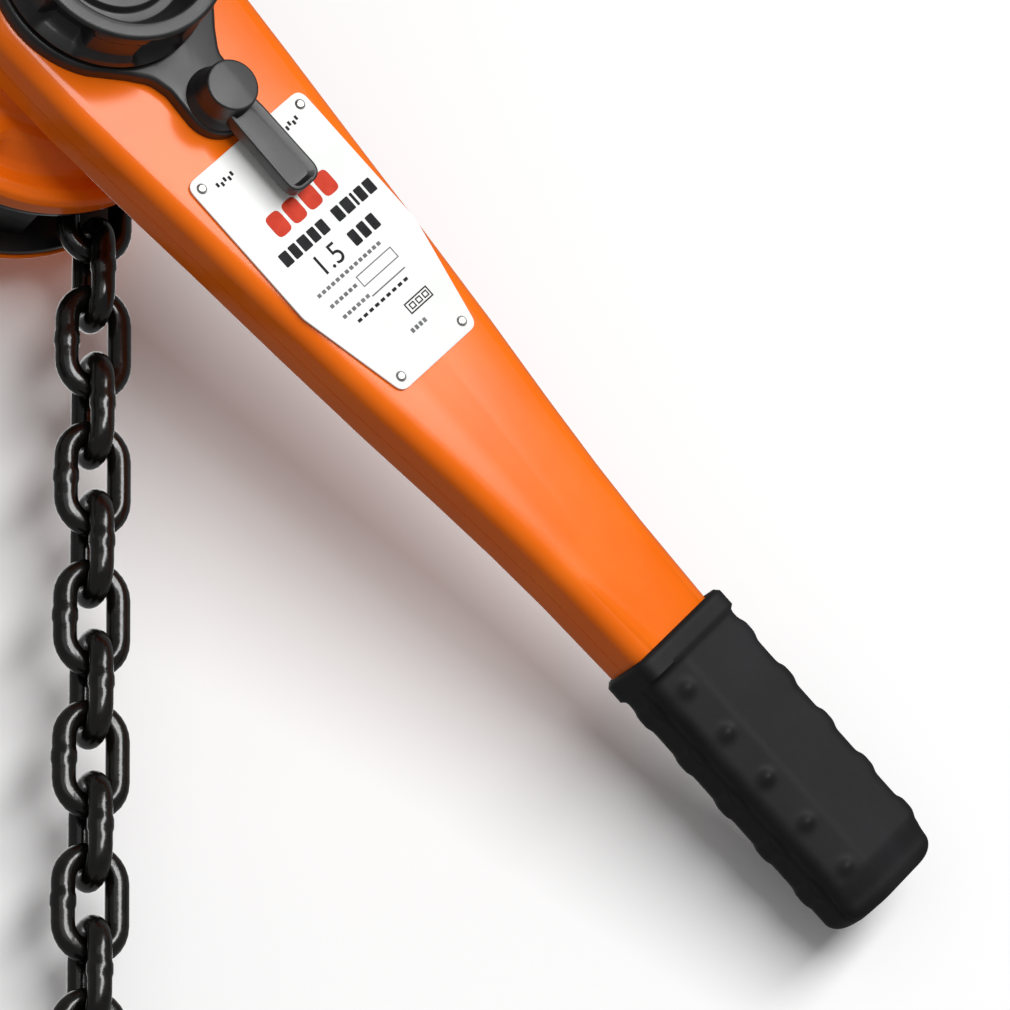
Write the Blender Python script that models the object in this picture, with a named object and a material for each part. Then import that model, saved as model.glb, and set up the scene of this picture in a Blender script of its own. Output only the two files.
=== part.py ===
"""Lever chain hoist, 1.5 t class, hanging from its top hook. Metres, Z up, front towards -Y."""

import math

import bmesh
import bpy
from mathutils import Vector

MM = 0.001

# Load chain
CHAIN_WIRE = 8.0
CHAIN_PITCH = 24.0
CHAIN_PLAY = 0.3
LINK_INSIDE_WIDTH = 10.4
LOAD_HEAD_LINKS = 3
LOAD_LINKS = 14
TAIL_LINKS = 5

# Body
POCKETS = 4
BODY_RADIUS = 61.0
SHAFT_TO_TOP_PIN = BODY_RADIUS + 7.0
HOOK_TO_SHAFT = SHAFT_TO_TOP_PIN + 103.0
BODY_TOP_RADIUS = 20.0
PLATE_INNER = 16.0
PLATE_THICKNESS = 4.0
TOP_PIN_RADIUS = 6.0
SHAFT_RADIUS = 6.0
STAY_BOLTS = ((51.5, 35.0), (51.5, 142.0), (47.5, -90.0))
STAY_SLEEVE_RADIUS = 5.0
STAY_STUD_RADIUS = 3.8

# Gears
MODULE = 1.5
PINION_TEETH = 9
WHEEL_TEETH = 27
SMALL_TEETH = 10
LOAD_TEETH = 26
GEAR_BACKLASH = 0.3

# Brake
RATCHET_TEETH = 12
RATCHET_TIP = 33.0
RATCHET_ROOT = 28.5
FRICTION_RADIUS = 25.0
BRAKE_PAWL_PIVOT = 42.0
BRAKE_PAWL_ANGLES = (100.0, 280.0)
CHANGE_TEETH = 10
CHANGE_TIP = 26.0
CHANGE_ROOT = 20.0
CHANGE_CREST_HALF = 4.0
CHANGE_FOOT_HALF = 8.5

# Lever
LEVER_ANGLE = -44.2
LEVER_END = 376.0
LEVER_BACK = -52.0
LEVER_SPLIT = -62.0
LEVER_FRONT = -76.0
LEVER_WALL = 1.8
LEVER_HALF_WIDTHS = (
    (0.0, 42.0), (30.0, 41.0), (60.0, 38.4), (96.0, 35.0), (132.0, 31.8), (169.0, 28.1), (200.0, 24.4),
    (227.0, 21.6), (250.0, 19.7), (280.0, 18.6), (284.0, 16.2), (376.0, 15.4),
)
GRIP_START = 282.5
GRIP_LENGTH = 112.0
GRIP_HALF_WIDTH = 20.8
GRIP_BACK = -48.6
GRIP_FRONT = -79.0
SELECTOR_DISTANCE = 57.0
PADDLE_END = 97.0
PADDLE_WIDTH = 13.2
BOSS_TOP = -94.0

# Handwheel
WHEEL_RADIUS = 35.0
WHEEL_FRONT = -105.5
WHEEL_BACK = -82.6
WHEEL_LOBES = 6
HUB_DISC_RADIUS = 20.0
HUB_DISC_FRONT = -95.0

# Hooks
HOOK_BOWL_RADIUS = 21.0
HOOK_SHANK_RADIUS = 8.0

CLEARANCE = 0.3

# Positions that follow from the sizes above
HALF_STEP = math.pi / (2 * POCKETS)
LINK_CIRCLE = CHAIN_PITCH / (2 * math.sin(HALF_STEP))
LINK_APOTHEM = LINK_CIRCLE * math.cos(HALF_STEP)
LINK_INSIDE_LENGTH = CHAIN_PITCH + CHAIN_PLAY
LINK_HALF_WIDTH = LINK_INSIDE_WIDTH / 2 + CHAIN_WIRE
SHAFT_X = -LINK_APOTHEM
SHAFT_Z = -HOOK_TO_SHAFT
TAIL_X = SHAFT_X - LINK_APOTHEM
STRAND_TOP = SHAFT_Z - CHAIN_PITCH / 2
TOP_PIN_Z = SHAFT_Z + SHAFT_TO_TOP_PIN
PLATE_OUTER = PLATE_INNER + PLATE_THICKNESS
GEAR_CENTRES = MODULE * (PINION_TEETH + WHEEL_TEETH) / 2
LAST_LINK_Z = STRAND_TOP - CHAIN_PITCH * (LOAD_LINKS - 0.5)
CHAIN_PIN_RADIUS = CHAIN_WIRE / 2
CHAIN_PIN_Z = LAST_LINK_Z - LINK_INSIDE_LENGTH / 2 + CHAIN_PIN_RADIUS + CHAIN_PLAY
BOTTOM_YOKE_FOOT = CHAIN_PIN_Z - 38.0
BOTTOM_BOWL_Z = BOTTOM_YOKE_FOOT - 73.0

for old in list(bpy.data.objects):
    bpy.data.objects.remove(old)


def material(name, colour, metallic, roughness):
    made = bpy.data.materials.new(name)
    made.use_nodes = True
    shader = made.node_tree.nodes["Principled BSDF"]
    shader.inputs["Base Color"].default_value = (*colour, 1.0)
    shader.inputs["Metallic"].default_value = metallic
    shader.inputs["Roughness"].default_value = roughness
    return made


ORANGE = (0.90, 0.20, 0.02)
BLACK = (0.02, 0.02, 0.022)
STEEL = (0.50, 0.50, 0.52)
DARK = (0.08, 0.08, 0.085)
LOOKS = {
    "paint": (ORANGE, 0.0, 0.25),
    "black": (BLACK, 0.0, 0.45),
    "chain": (BLACK, 0.6, 0.3),
    "steel": (STEEL, 1.0, 0.35),
    "dark": (DARK, 0.8, 0.45),
    "rubber": (BLACK, 0.0, 0.7),
    "lining": ((0.25, 0.17, 0.10), 0.0, 0.9),
    "plate": ((0.85, 0.85, 0.82), 0.0, 0.4),
}


def add(name, points, faces, look):
    """One object from points in millimetres."""
    mesh = bpy.data.meshes.new(name)
    mesh.from_pydata([tuple(MM * c for c in p) for p in points], [], faces)
    shape = bmesh.new()
    shape.from_mesh(mesh)
    bmesh.ops.recalc_face_normals(shape, faces=shape.faces)
    if shape.calc_volume(signed=True) < 0:
        bmesh.ops.reverse_faces(shape, faces=shape.faces)
    shape.to_mesh(mesh)
    shape.free()
    made = bpy.data.objects.new(name, mesh)
    bpy.context.scene.collection.objects.link(made)
    mesh.materials.append(material(name, *LOOKS[look]))
    return made


def loft(name, rings, look, loop=False, closed_rings=True):
    """Rings of equal point counts joined in order, capped at both ends unless they loop."""
    count = len(rings[0])
    points = [p for ring in rings for p in ring]
    faces = []
    for k in range(len(rings) if loop else len(rings) - 1):
        a, b = k * count, (k + 1) % len(rings) * count
        for i in range(count if closed_rings else count - 1):
            j = (i + 1) % count
            faces.append((a + i, a + j, b + j, b + i))
    if not loop:
        faces.append(tuple(range(count)))
        faces.append(tuple(range(len(points) - count, len(points))))
    return add(name, points, faces, look)


def join(base, others, operation):
    """Boolean of base with each of the others, which are then removed."""
    for other in others:
        modifier = base.modifiers.new("cut", "BOOLEAN")
        modifier.operation = operation
        modifier.solver = "EXACT"
        modifier.object = other
        graph = bpy.context.evaluated_depsgraph_get()
        result = bpy.data.meshes.new_from_object(base.evaluated_get(graph))
        base.modifiers.clear()
        keep = base.data.materials[0]
        base.data = result
        result.materials.clear()
        result.materials.append(keep)
        bpy.data.objects.remove(other)
    return base


def cut(base, *others):
    return join(base, others, "DIFFERENCE")


def fuse(base, *others):
    return join(base, others, "UNION")


def circle(radius, count, centre=(0.0, 0.0), turn=0.0):
    angles = [turn + 2 * math.pi * k / count for k in range(count)]
    return [(centre[0] + radius * math.cos(a), centre[1] + radius * math.sin(a)) for a in angles]


def prism(name, outline, y0, y1, look="steel"):
    """Outline in X and Z, run along Y."""
    return loft(name, [[(x, y, z) for x, z in outline] for y in (y0, y1)], look)


def disc(name, centre, radius, y0, y1, look="steel", count=20, turn=0.0):
    return prism(name, circle(radius, count, centre, turn), y0, y1, look)


def block(name, x, y, z, look="steel"):
    return prism(name, [(x[0], z[0]), (x[1], z[0]), (x[1], z[1]), (x[0], z[1])], y[0], y[1], look)


def post(name, radius, z0, z1, look="steel", count=24, x=0.0, y=0.0):
    """Round bar along Z."""
    ring = circle(radius, count, (x, y))
    return loft(name, [[(a, b, z) for a, b in ring] for z in (z0, z1)], look)


def turned(name, profile, centre, look, count=24):
    """Profile of (radius, y) turned about Y. A profile that starts and ends at 0 is solid."""
    solid = profile[0][0] == 0.0
    used = profile[1:-1] if solid else profile
    rings = []
    for radius, y in used:
        rings.append([(x, y, z) for x, z in circle(radius, count, centre)])
    return loft(name, rings, look, loop=not solid)


def at_shaft(angle, distance):
    a = math.radians(angle)
    return SHAFT_X + distance * math.cos(a), SHAFT_Z + distance * math.sin(a)


SHAFT = (SHAFT_X, SHAFT_Z)


# Chain


def link_rings(centre, along, across, inside_width=LINK_INSIDE_WIDTH, wire=CHAIN_WIRE):
    """Rings of one link. along points down its length, across is in its plane."""
    along, across = Vector(along).normalized(), Vector(across).normalized()
    out = along.cross(across)
    bend = (inside_width + wire) / 2
    straight = LINK_INSIDE_LENGTH / 2 - inside_width / 2
    steps, sides, rings = 4, 6, []
    for end in (1, -1):
        for k in range(steps + 1):
            a = math.pi * k / steps
            if end < 0:
                a += math.pi
            radial = across * math.cos(a) + along * math.sin(a)
            middle = Vector(centre) + radial * bend + along * straight * end
            ring = []
            for s in range(sides):
                b = 2 * math.pi * s / sides
                ring.append(tuple(middle + (radial * math.cos(b) + out * math.sin(b)) * wire / 2))
            rings.append(ring)
    return rings


def link(name, centre, along, across, look="chain"):
    return loft(name, link_rings(centre, along, across), look, loop=True)


def strand_link(name, x, number):
    """Link of a hanging strand, counted from 1 below the sheave. Odd ones lie across the shaft."""
    across = (0, 1, 0) if number % 2 else (1, 0, 0)
    return link(name, (x, 0, STRAND_TOP - CHAIN_PITCH * (number - 0.5)), (0, 0, 1), across)


def bridge(name, x, z, size=3.4):
    """Small block at a contact between two links of one node."""
    half = size / 2
    return block(name, (x - half, x + half), (-half, half), (z - half, z + half), "chain")


def strand(name, x, first, last):
    made = strand_link(name, x, first)
    for number in range(first + 1, last + 1):
        fuse(made, bridge("b", x, STRAND_TOP - CHAIN_PITCH * (number - 1)))
        fuse(made, strand_link("l", x, number))
    return made


def wrapped_chain():
    made = None
    for k in range(POCKETS + 1):
        middle = math.pi * k / POCKETS
        along = (-math.sin(middle), 0, math.cos(middle))
        radial = (math.cos(middle), 0, math.sin(middle))
        centre = (SHAFT_X + LINK_APOTHEM * radial[0], 0, SHAFT_Z + LINK_APOTHEM * radial[2])
        piece = link("sheave_chain" if made is None else "l", centre, along, (0, 1, 0) if k % 2 else radial)
        if made is None:
            made = piece
            continue
        corner = middle - HALF_STEP
        where = (SHAFT_X + LINK_CIRCLE * math.cos(corner), SHAFT_Z + LINK_CIRCLE * math.sin(corner))
        fuse(made, bridge("b", *where))
        fuse(made, piece)
    return made


sheave_chain = wrapped_chain()
load_chain_head = strand("load_chain_head", 0.0, 1, LOAD_HEAD_LINKS)
for number in range(LOAD_HEAD_LINKS + 1, LOAD_LINKS + 1):
    strand_link(f"load_link_{number:02d}", 0.0, number)
tail_chain = strand("tail_chain", TAIL_X, 1, TAIL_LINKS)
RING_MIDDLE_Z = STRAND_TOP - CHAIN_PITCH * TAIL_LINKS + CHAIN_PLAY / 2 - 13.0
ring_path = []
for k in range(16):
    a = 2 * math.pi * k / 16
    radial = Vector((math.cos(a), 0, math.sin(a)))
    middle = Vector((TAIL_X, 0, RING_MIDDLE_Z)) + radial * 15.5
    ring = []
    for s in range(6):
        b = 2 * math.pi * s / 6
        ring.append(tuple(middle + (radial * math.cos(b) + Vector((0, 1, 0)) * math.sin(b)) * 2.5))
    ring_path.append(ring)
loft("tail_ring", ring_path, "steel", loop=True)

# Sheave and gears

SHEAVE_HALF = PLATE_INNER - 1.2
SHEAVE_RADIUS = LINK_APOTHEM + CHAIN_WIRE / 2 - 0.6
FLANGE_INNER = LINK_HALF_WIDTH + 0.4
HUB_RADIUS = 12.0
GROOVE_HALF = CHAIN_WIRE / 2 + 0.9
GROOVE_RADIUS = LINK_APOTHEM - LINK_HALF_WIDTH - 0.4
POCKET_RADIUS = LINK_APOTHEM - CHAIN_WIRE / 2 - 0.4
TOOTH_HALF = 3.0
LOAD_GEAR_FRONT = PLATE_OUTER + 0.6
LOAD_GEAR_BACK = LOAD_GEAR_FRONT + 7.0
WHEEL_GEAR_BACK = LOAD_GEAR_BACK + 6.4
SHAFT_BORE = SHAFT_RADIUS + 0.5

load_sheave = turned(
    "load_sheave",
    [
        (SHAFT_BORE, -PLATE_OUTER), (HUB_RADIUS, -PLATE_OUTER), (HUB_RADIUS, -SHEAVE_HALF),
        (SHEAVE_RADIUS, -SHEAVE_HALF), (SHEAVE_RADIUS, -FLANGE_INNER), (POCKET_RADIUS, -FLANGE_INNER),
        (POCKET_RADIUS, -GROOVE_HALF), (GROOVE_RADIUS, -GROOVE_HALF), (GROOVE_RADIUS, GROOVE_HALF),
        (POCKET_RADIUS, GROOVE_HALF), (POCKET_RADIUS, FLANGE_INNER), (SHEAVE_RADIUS, FLANGE_INNER),
        (SHEAVE_RADIUS, SHEAVE_HALF), (HUB_RADIUS, SHEAVE_HALF), (HUB_RADIUS, LOAD_GEAR_BACK),
        (SHAFT_BORE, LOAD_GEAR_BACK),
    ],
    SHAFT,
    "dark",
)
for k in range(POCKETS):
    middle = 2 * math.pi * k / POCKETS
    outward = Vector((math.cos(middle), math.sin(middle)))
    along = Vector((-math.sin(middle), math.cos(middle))) * TOOTH_HALF
    root, tip = outward * (POCKET_RADIUS - 4.0), outward * (SHEAVE_RADIUS - 0.4)
    tooth = [tuple(Vector(SHAFT) + p) for p in (root - along, tip - along, tip + along, root + along)]
    for y0, y1 in ((-FLANGE_INNER - 0.3, -GROOVE_HALF), (GROOVE_HALF, FLANGE_INNER + 0.3)):
        fuse(load_sheave, prism("tooth", tooth, y0, y1, "dark"))


def involute_angle(base, radius):
    """Angle along the involute of a base circle, from where it starts to a radius."""
    if radius <= base:
        return 0.0
    t = math.sqrt((radius / base) ** 2 - 1)
    return t - math.atan(t)


def gear_outline(teeth, centre, tooth_at):
    """Spur gear outline with a tooth centred at the angle tooth_at, in degrees."""
    pitch = MODULE * teeth / 2
    base = pitch * math.cos(math.radians(20.0))
    root, tip = pitch - 1.15 * MODULE, pitch + 0.8 * MODULE
    half_tooth = math.pi / (2 * teeth) - GEAR_BACKLASH / (2 * pitch)
    start = half_tooth + involute_angle(base, pitch)
    outline = []
    for k in range(teeth):
        middle = math.radians(tooth_at) + 2 * math.pi * k / teeth
        for radius, side in ((root, -1), (tip, -1), (tip, 1), (root, 1)):
            a = middle + side * (start - involute_angle(base, radius))
            outline.append((centre[0] + radius * math.cos(a), centre[1] + radius * math.sin(a)))
    return outline


def gear(name, teeth, centre, y0, y1, tooth_at, bore, look="steel"):
    made = prism(name, gear_outline(teeth, centre, tooth_at), y0, y1, look)
    if bore:
        cut(made, disc("bore", centre, bore, y0 - 1, y1 + 1))
    return made


gear("load_gear", LOAD_TEETH, SHAFT, LOAD_GEAR_FRONT, LOAD_GEAR_BACK, 0.0, HUB_RADIUS + CLEARANCE)

# Pinion shaft, with the pinion at its gear end

HUB_SLEEVE = 10.0
HUB_FRONT = -PLATE_OUTER - 3.2
FRICTION = 2.0
RATCHET_THICKNESS = 5.0
FLANGE = 3.0
FRICTION_1 = HUB_FRONT - FLANGE - CLEARANCE
RATCHET_BACK = FRICTION_1 - FRICTION - CLEARANCE
FRICTION_2 = RATCHET_BACK - RATCHET_THICKNESS - CLEARANCE
CHANGE_BACK = FRICTION_2 - FRICTION - CLEARANCE
CHANGE_NECK = 15.0
CHANGE_GEAR_BACK = LEVER_BACK - LEVER_WALL - 1.2
CHANGE_GEAR_FRONT = CHANGE_GEAR_BACK - 11.5
NUT_FRONT = HUB_DISC_FRONT - 3.0
PINION_ROOT = MODULE * PINION_TEETH / 2 - 1.15 * MODULE

pinion_shaft = turned(
    "pinion_shaft",
    [
        (0.0, NUT_FRONT - 3.0), (SHAFT_RADIUS - 1.0, NUT_FRONT - 3.0), (SHAFT_RADIUS, NUT_FRONT - 2.0),
        (SHAFT_RADIUS, LOAD_GEAR_BACK + 0.2), (PINION_ROOT - 0.3, LOAD_GEAR_BACK + 0.2),
        (PINION_ROOT - 0.3, WHEEL_GEAR_BACK + 1.2), (3.5, WHEEL_GEAR_BACK + 1.2),
        (3.5, WHEEL_GEAR_BACK + 5.4), (0.0, WHEEL_GEAR_BACK + 5.4),
    ],
    SHAFT,
    "steel",
    24,
)
fuse(
    pinion_shaft,
    prism("t", gear_outline(PINION_TEETH, SHAFT, 0.0), LOAD_GEAR_BACK + 0.4, WHEEL_GEAR_BACK + 0.8),
)

DISC_CENTRES = ((SHAFT_X + GEAR_CENTRES, SHAFT_Z), (SHAFT_X - GEAR_CENTRES, SHAFT_Z))
for number, centre in enumerate(DISC_CENTRES, 1):
    towards_shaft = 180.0 if number == 1 else 0.0
    # The shaft's odd tooth count puts a tooth on one side and a gap on the other.
    wheel_tooth = towards_shaft + (180.0 / WHEEL_TEETH if number == 1 else 0.0)
    small_tooth = towards_shaft + 180.0 / SMALL_TEETH
    made = turned(
        f"disc_gear_{number}",
        [
            (0.0, PLATE_INNER + 1.0), (3.5, PLATE_INNER + 1.0), (3.5, LOAD_GEAR_FRONT + 1.0),
            (5.0, LOAD_GEAR_FRONT + 1.0), (5.0, WHEEL_GEAR_BACK - 1.0), (3.5, WHEEL_GEAR_BACK - 1.0),
            (3.5, WHEEL_GEAR_BACK + 5.4), (0.0, WHEEL_GEAR_BACK + 5.4),
        ],
        centre,
        "steel",
        12,
    )
    small = gear_outline(SMALL_TEETH, centre, small_tooth)
    large = gear_outline(WHEEL_TEETH, centre, wheel_tooth)
    fuse(made, prism("s", small, LOAD_GEAR_FRONT, LOAD_GEAR_BACK + 1.0))
    fuse(made, prism("w", large, LOAD_GEAR_BACK + 0.4, WHEEL_GEAR_BACK))

# Body plates, bolts and guides


def body_reach(angle, radius, top_radius, top_x, top_z):
    """Distance from the shaft to the taut outline round two circles, at an angle in radians."""
    best = 0.0
    for k in range(41):
        t = k / 40
        cx, cz, r = top_x * t, top_z * t, radius + (top_radius - radius) * t
        along = cx * math.cos(angle) + cz * math.sin(angle)
        off = cx * math.sin(angle) - cz * math.cos(angle)
        if abs(off) < r:
            best = max(best, along + math.sqrt(r * r - off * off))
    return best


def body_outline(radius, top_radius, top_z=SHAFT_TO_TOP_PIN, count=44):
    outline = []
    for k in range(count):
        a = 2 * math.pi * k / count
        reach = body_reach(a, radius, top_radius, -SHAFT_X, top_z)
        outline.append((SHAFT_X + reach * math.cos(a), SHAFT_Z + reach * math.sin(a)))
    return outline


TOP_PIN = (0.0, TOP_PIN_Z)
BOLT_CENTRES = [at_shaft(angle, distance) for distance, angle in STAY_BOLTS]
ROLLER_CENTRES = ((SHAFT_X + 49.2, SHAFT_Z - 9.0), (SHAFT_X - 49.2, SHAFT_Z - 9.0))
ROLLER_RADIUS = 4.5
BEARING_HOLE = HUB_RADIUS + 3.4


def side_plate(name, y0, y1):
    made = prism(name, body_outline(BODY_RADIUS, BODY_TOP_RADIUS), y0, y1, "black")
    holes = [(SHAFT, BEARING_HOLE), (TOP_PIN, TOP_PIN_RADIUS + CLEARANCE)]
    holes += [(centre, STAY_STUD_RADIUS + CLEARANCE) for centre in BOLT_CENTRES]
    holes += [(centre, 2.5) for centre in ROLLER_CENTRES]
    for centre, radius in holes:
        cut(made, disc("hole", centre, radius, y0 - 1, y1 + 1, count=16))
    return made


front_side_plate = side_plate("front_side_plate", -PLATE_OUTER, -PLATE_INNER)
rear_side_plate = side_plate("rear_side_plate", PLATE_INNER, PLATE_OUTER)
for centre in DISC_CENTRES:
    cut(rear_side_plate, disc("hole", centre, 3.8, PLATE_INNER - 1, PLATE_OUTER + 1, count=12))
PAWL_FRONT = RATCHET_BACK - RATCHET_THICKNESS - 0.6
PAWL_CENTRES = [at_shaft(angle, BRAKE_PAWL_PIVOT) for angle in BRAKE_PAWL_ANGLES]
for centre in PAWL_CENTRES:
    fuse(front_side_plate, disc("pin", centre, 2.8, PAWL_FRONT - 0.8, -PLATE_INNER - 1, count=16))
    fuse(front_side_plate, disc("seat", centre, 4.6, RATCHET_BACK + 0.4, -PLATE_INNER - 1, count=16))

for name, y0, y1 in (
    ("sheave_bearing_front", -PLATE_OUTER, -PLATE_INNER + 0.6),
    ("sheave_bearing_rear", PLATE_INNER - 0.6, PLATE_OUTER),
):
    inner, outer = HUB_RADIUS + CLEARANCE, BEARING_HOLE - CLEARANCE
    turned(name, [(inner, y0), (outer, y0), (outer, y1), (inner, y1)], SHAFT, "steel", 16)

GEAR_COVER_FRONT = PLATE_OUTER + CLEARANCE
COVER_WALL = 1.8
NUT_BACK = GEAR_COVER_FRONT + COVER_WALL + CLEARANCE
for number, centre in enumerate(BOLT_CENTRES, 1):
    stud_front = -PLATE_OUTER - 2.4
    turned(
        f"stay_bolt_{number}",
        [
            (0.0, stud_front - 0.6), (STAY_STUD_RADIUS, stud_front - 0.6),
            (STAY_STUD_RADIUS, -PLATE_INNER + CLEARANCE), (STAY_SLEEVE_RADIUS, -PLATE_INNER + CLEARANCE),
            (STAY_SLEEVE_RADIUS, PLATE_INNER - CLEARANCE), (STAY_STUD_RADIUS, PLATE_INNER - CLEARANCE),
            (STAY_STUD_RADIUS, NUT_BACK + 7.5), (0.0, NUT_BACK + 7.5),
        ],
        centre,
        "steel",
        16,
    )
    nut = disc(f"gear_cover_nut_{number}", centre, 6.9, NUT_BACK, NUT_BACK + 6.0, "steel", 6, 0.2)
    cut(nut, disc("bore", centre, STAY_STUD_RADIUS + CLEARANCE, NUT_BACK - 1, NUT_BACK + 7, count=16))

for number, (x, z) in enumerate(ROLLER_CENTRES, 1):
    stub, face = PLATE_OUTER - 0.6, PLATE_INNER - 0.5
    turned(
        f"guide_roller_{number}",
        [
            (0.0, -stub), (2.2, -stub), (2.2, -face), (ROLLER_RADIUS, -face),
            (ROLLER_RADIUS, face), (2.2, face), (2.2, stub), (0.0, stub),
        ],
        (x, z),
        "steel",
        16,
    )

STRIPPER_BOLT_Z = BOLT_CENTRES[2][1]
stripper_face = PLATE_INNER - CLEARANCE
chain_stripper = prism(
    "chain_stripper",
    [
        (SHAFT_X - 8.5, STRIPPER_BOLT_Z - 7), (SHAFT_X + 8.5, STRIPPER_BOLT_Z - 7),
        (SHAFT_X + 8.5, STRIPPER_BOLT_Z + 9), (SHAFT_X - 8.5, STRIPPER_BOLT_Z + 9),
    ],
    -stripper_face,
    stripper_face,
    "dark",
)
fuse(
    chain_stripper,
    prism(
        "tongue",
        [
            (SHAFT_X - 8, STRIPPER_BOLT_Z + 5), (SHAFT_X + 8, STRIPPER_BOLT_Z + 5),
            (SHAFT_X + 3.5, SHAFT_Z - GROOVE_RADIUS - 2.0), (SHAFT_X - 3.5, SHAFT_Z - GROOVE_RADIUS - 2.0),
        ],
        -CHAIN_WIRE / 2,
        CHAIN_WIRE / 2,
    ),
)
bolt_room = STAY_SLEEVE_RADIUS + CLEARANCE
cut(chain_stripper, disc("bore", BOLT_CENTRES[2], bolt_room, -20, 20, count=16))

# Covers


def body_long(angle, radius):
    """Distance from the shaft to a stadium that holds both disc gears."""
    best = 0.0
    for k in range(-20, 21):
        centre = GEAR_CENTRES * k / 20
        along, off = centre * math.cos(angle), centre * math.sin(angle)
        if abs(off) < radius:
            best = max(best, along + math.sqrt(radius * radius - off * off))
    return best


def cover(name, outer, inner, look, count=32, open_middle=False):
    """Pressed cover between two lists of (y, inset, limit, shape) rings, each from the rim inwards."""
    rings = []
    order = outer + inner[::-1] if open_middle else outer[::-1] + inner
    for y, inset, limit, shape in order:
        ring = []
        for k in range(count):
            a = 2 * math.pi * k / count
            reach = BODY_RADIUS + 0.8 - inset
            if shape == "round":
                reach = min(reach, limit)
            if shape == "long":
                reach = min(reach, body_long(a, limit))
            ring.append((SHAFT_X + reach * math.cos(a), y, SHAFT_Z + reach * math.sin(a)))
        rings.append(ring)
    return loft(name, rings, look, loop=open_middle)


GEAR_COVER_BACK = WHEEL_GEAR_BACK + 7.8
WHEEL_TIP = MODULE * WHEEL_TEETH / 2 + MODULE
front_y, back_y = GEAR_COVER_FRONT, GEAR_COVER_BACK
outer = [
    (front_y, 0.0, 0, "body"), (front_y + 1.2, 0.0, 0, "body"), (front_y + 1.8, 0.8, 0, "body"),
    (front_y + 1.8, 0.8, WHEEL_TIP + 5.0, "long"), (front_y + 3.4, 0.8, WHEEL_TIP + 3.2, "long"),
    (back_y - 3.0, 0.8, WHEEL_TIP + 2.6, "long"), (back_y - 0.8, 0.8, WHEEL_TIP + 1.4, "long"),
    (back_y, 0.8, WHEEL_TIP - 1.2, "long"),
]
inner = [
    (front_y, 0.8, WHEEL_TIP + 1.8, "long"), (front_y + 3.0, 0.8, WHEEL_TIP + 1.4, "long"),
    (back_y - 3.0, 0.8, WHEEL_TIP + 0.8, "long"), (back_y - 1.8, 0.8, WHEEL_TIP - 1.0, "long"),
]
gear_cover = cover("gear_cover", outer, inner, "paint")
for centre in (SHAFT, *DISC_CENTRES):
    boss = disc("boss", centre, 6.5, WHEEL_GEAR_BACK + 1.7, back_y - 1.0, count=12)
    cut(boss, disc("bore", centre, 3.9, WHEEL_GEAR_BACK, WHEEL_GEAR_BACK + 5.8, count=12))
    fuse(gear_cover, boss)
for centre in BOLT_CENTRES:
    cut(gear_cover, disc("hole", centre, STAY_STUD_RADIUS + CLEARANCE, front_y - 1, front_y + 9, count=16))

NECK_ROOM = CHANGE_NECK + 1.5
front_y = -PLATE_OUTER - CLEARANCE
outer = [
    (front_y, 0.0, 0, "body"), (front_y - 6.2, 0.0, 0, "body"), (front_y - 8.6, 1.2, 0, "body"),
    (front_y - 10.0, 5.0, 0, "body"), (front_y - 11.2, 9.5, 52.0, "round"),
    (front_y - 16.6, 11.0, 49.8, "round"), (front_y - 18.8, 16.0, 44.0, "round"),
    (front_y - 20.2, 20.0, 40.5, "round"), (front_y - 27.0, 22.0, 38.0, "round"),
    (front_y - 28.6, 28.0, 34.5, "round"),
    (front_y - 28.6, 40.0, NECK_ROOM, "round"),
]
inner = []
for y, inset, limit, shape in outer:
    inner_limit = max(limit - COVER_WALL, NECK_ROOM)
    inner.append((min(y + COVER_WALL, front_y), inset + COVER_WALL, inner_limit, shape))
brake_cover = cover("brake_cover", outer, inner, "paint", open_middle=True)

# Brake

hub_profile = [
    (SHAFT_RADIUS + CLEARANCE, -PLATE_OUTER - 0.6), (HUB_SLEEVE - 1.2, -PLATE_OUTER - 0.6),
    (HUB_SLEEVE - 1.2, HUB_FRONT), (FRICTION_RADIUS, HUB_FRONT), (FRICTION_RADIUS, HUB_FRONT - FLANGE),
    (HUB_SLEEVE, HUB_FRONT - FLANGE), (HUB_SLEEVE, CHANGE_BACK + CLEARANCE),
    (SHAFT_RADIUS + CLEARANCE, CHANGE_BACK + CLEARANCE),
]
turned("brake_hub", hub_profile, SHAFT, "steel")
for name, back in (("friction_disc_inner", FRICTION_1), ("friction_disc_outer", FRICTION_2)):
    inner_radius, front = HUB_SLEEVE + CLEARANCE, back - FRICTION
    ring = [(inner_radius, back), (FRICTION_RADIUS, back), (FRICTION_RADIUS, front), (inner_radius, front)]
    turned(name, ring, SHAFT, "lining")

NOSE_ANGLE = 38.0
ratchet = []
for k in range(RATCHET_TEETH):
    face = BRAKE_PAWL_ANGLES[0] - NOSE_ANGLE - 1.6 + 360.0 * k / RATCHET_TEETH
    ratchet.append(at_shaft(face - 0.6, RATCHET_TIP))
    ratchet.append(at_shaft(face, RATCHET_ROOT))
    ratchet.append(at_shaft(face + 180.0 / RATCHET_TEETH, (RATCHET_ROOT + RATCHET_TIP) / 2))
ratchet_wheel = prism("ratchet_wheel", ratchet, RATCHET_BACK - RATCHET_THICKNESS, RATCHET_BACK, "steel")
cut(ratchet_wheel, disc("bore", SHAFT, HUB_SLEEVE + CLEARANCE, RATCHET_BACK - 9, RATCHET_BACK + 9))

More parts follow.
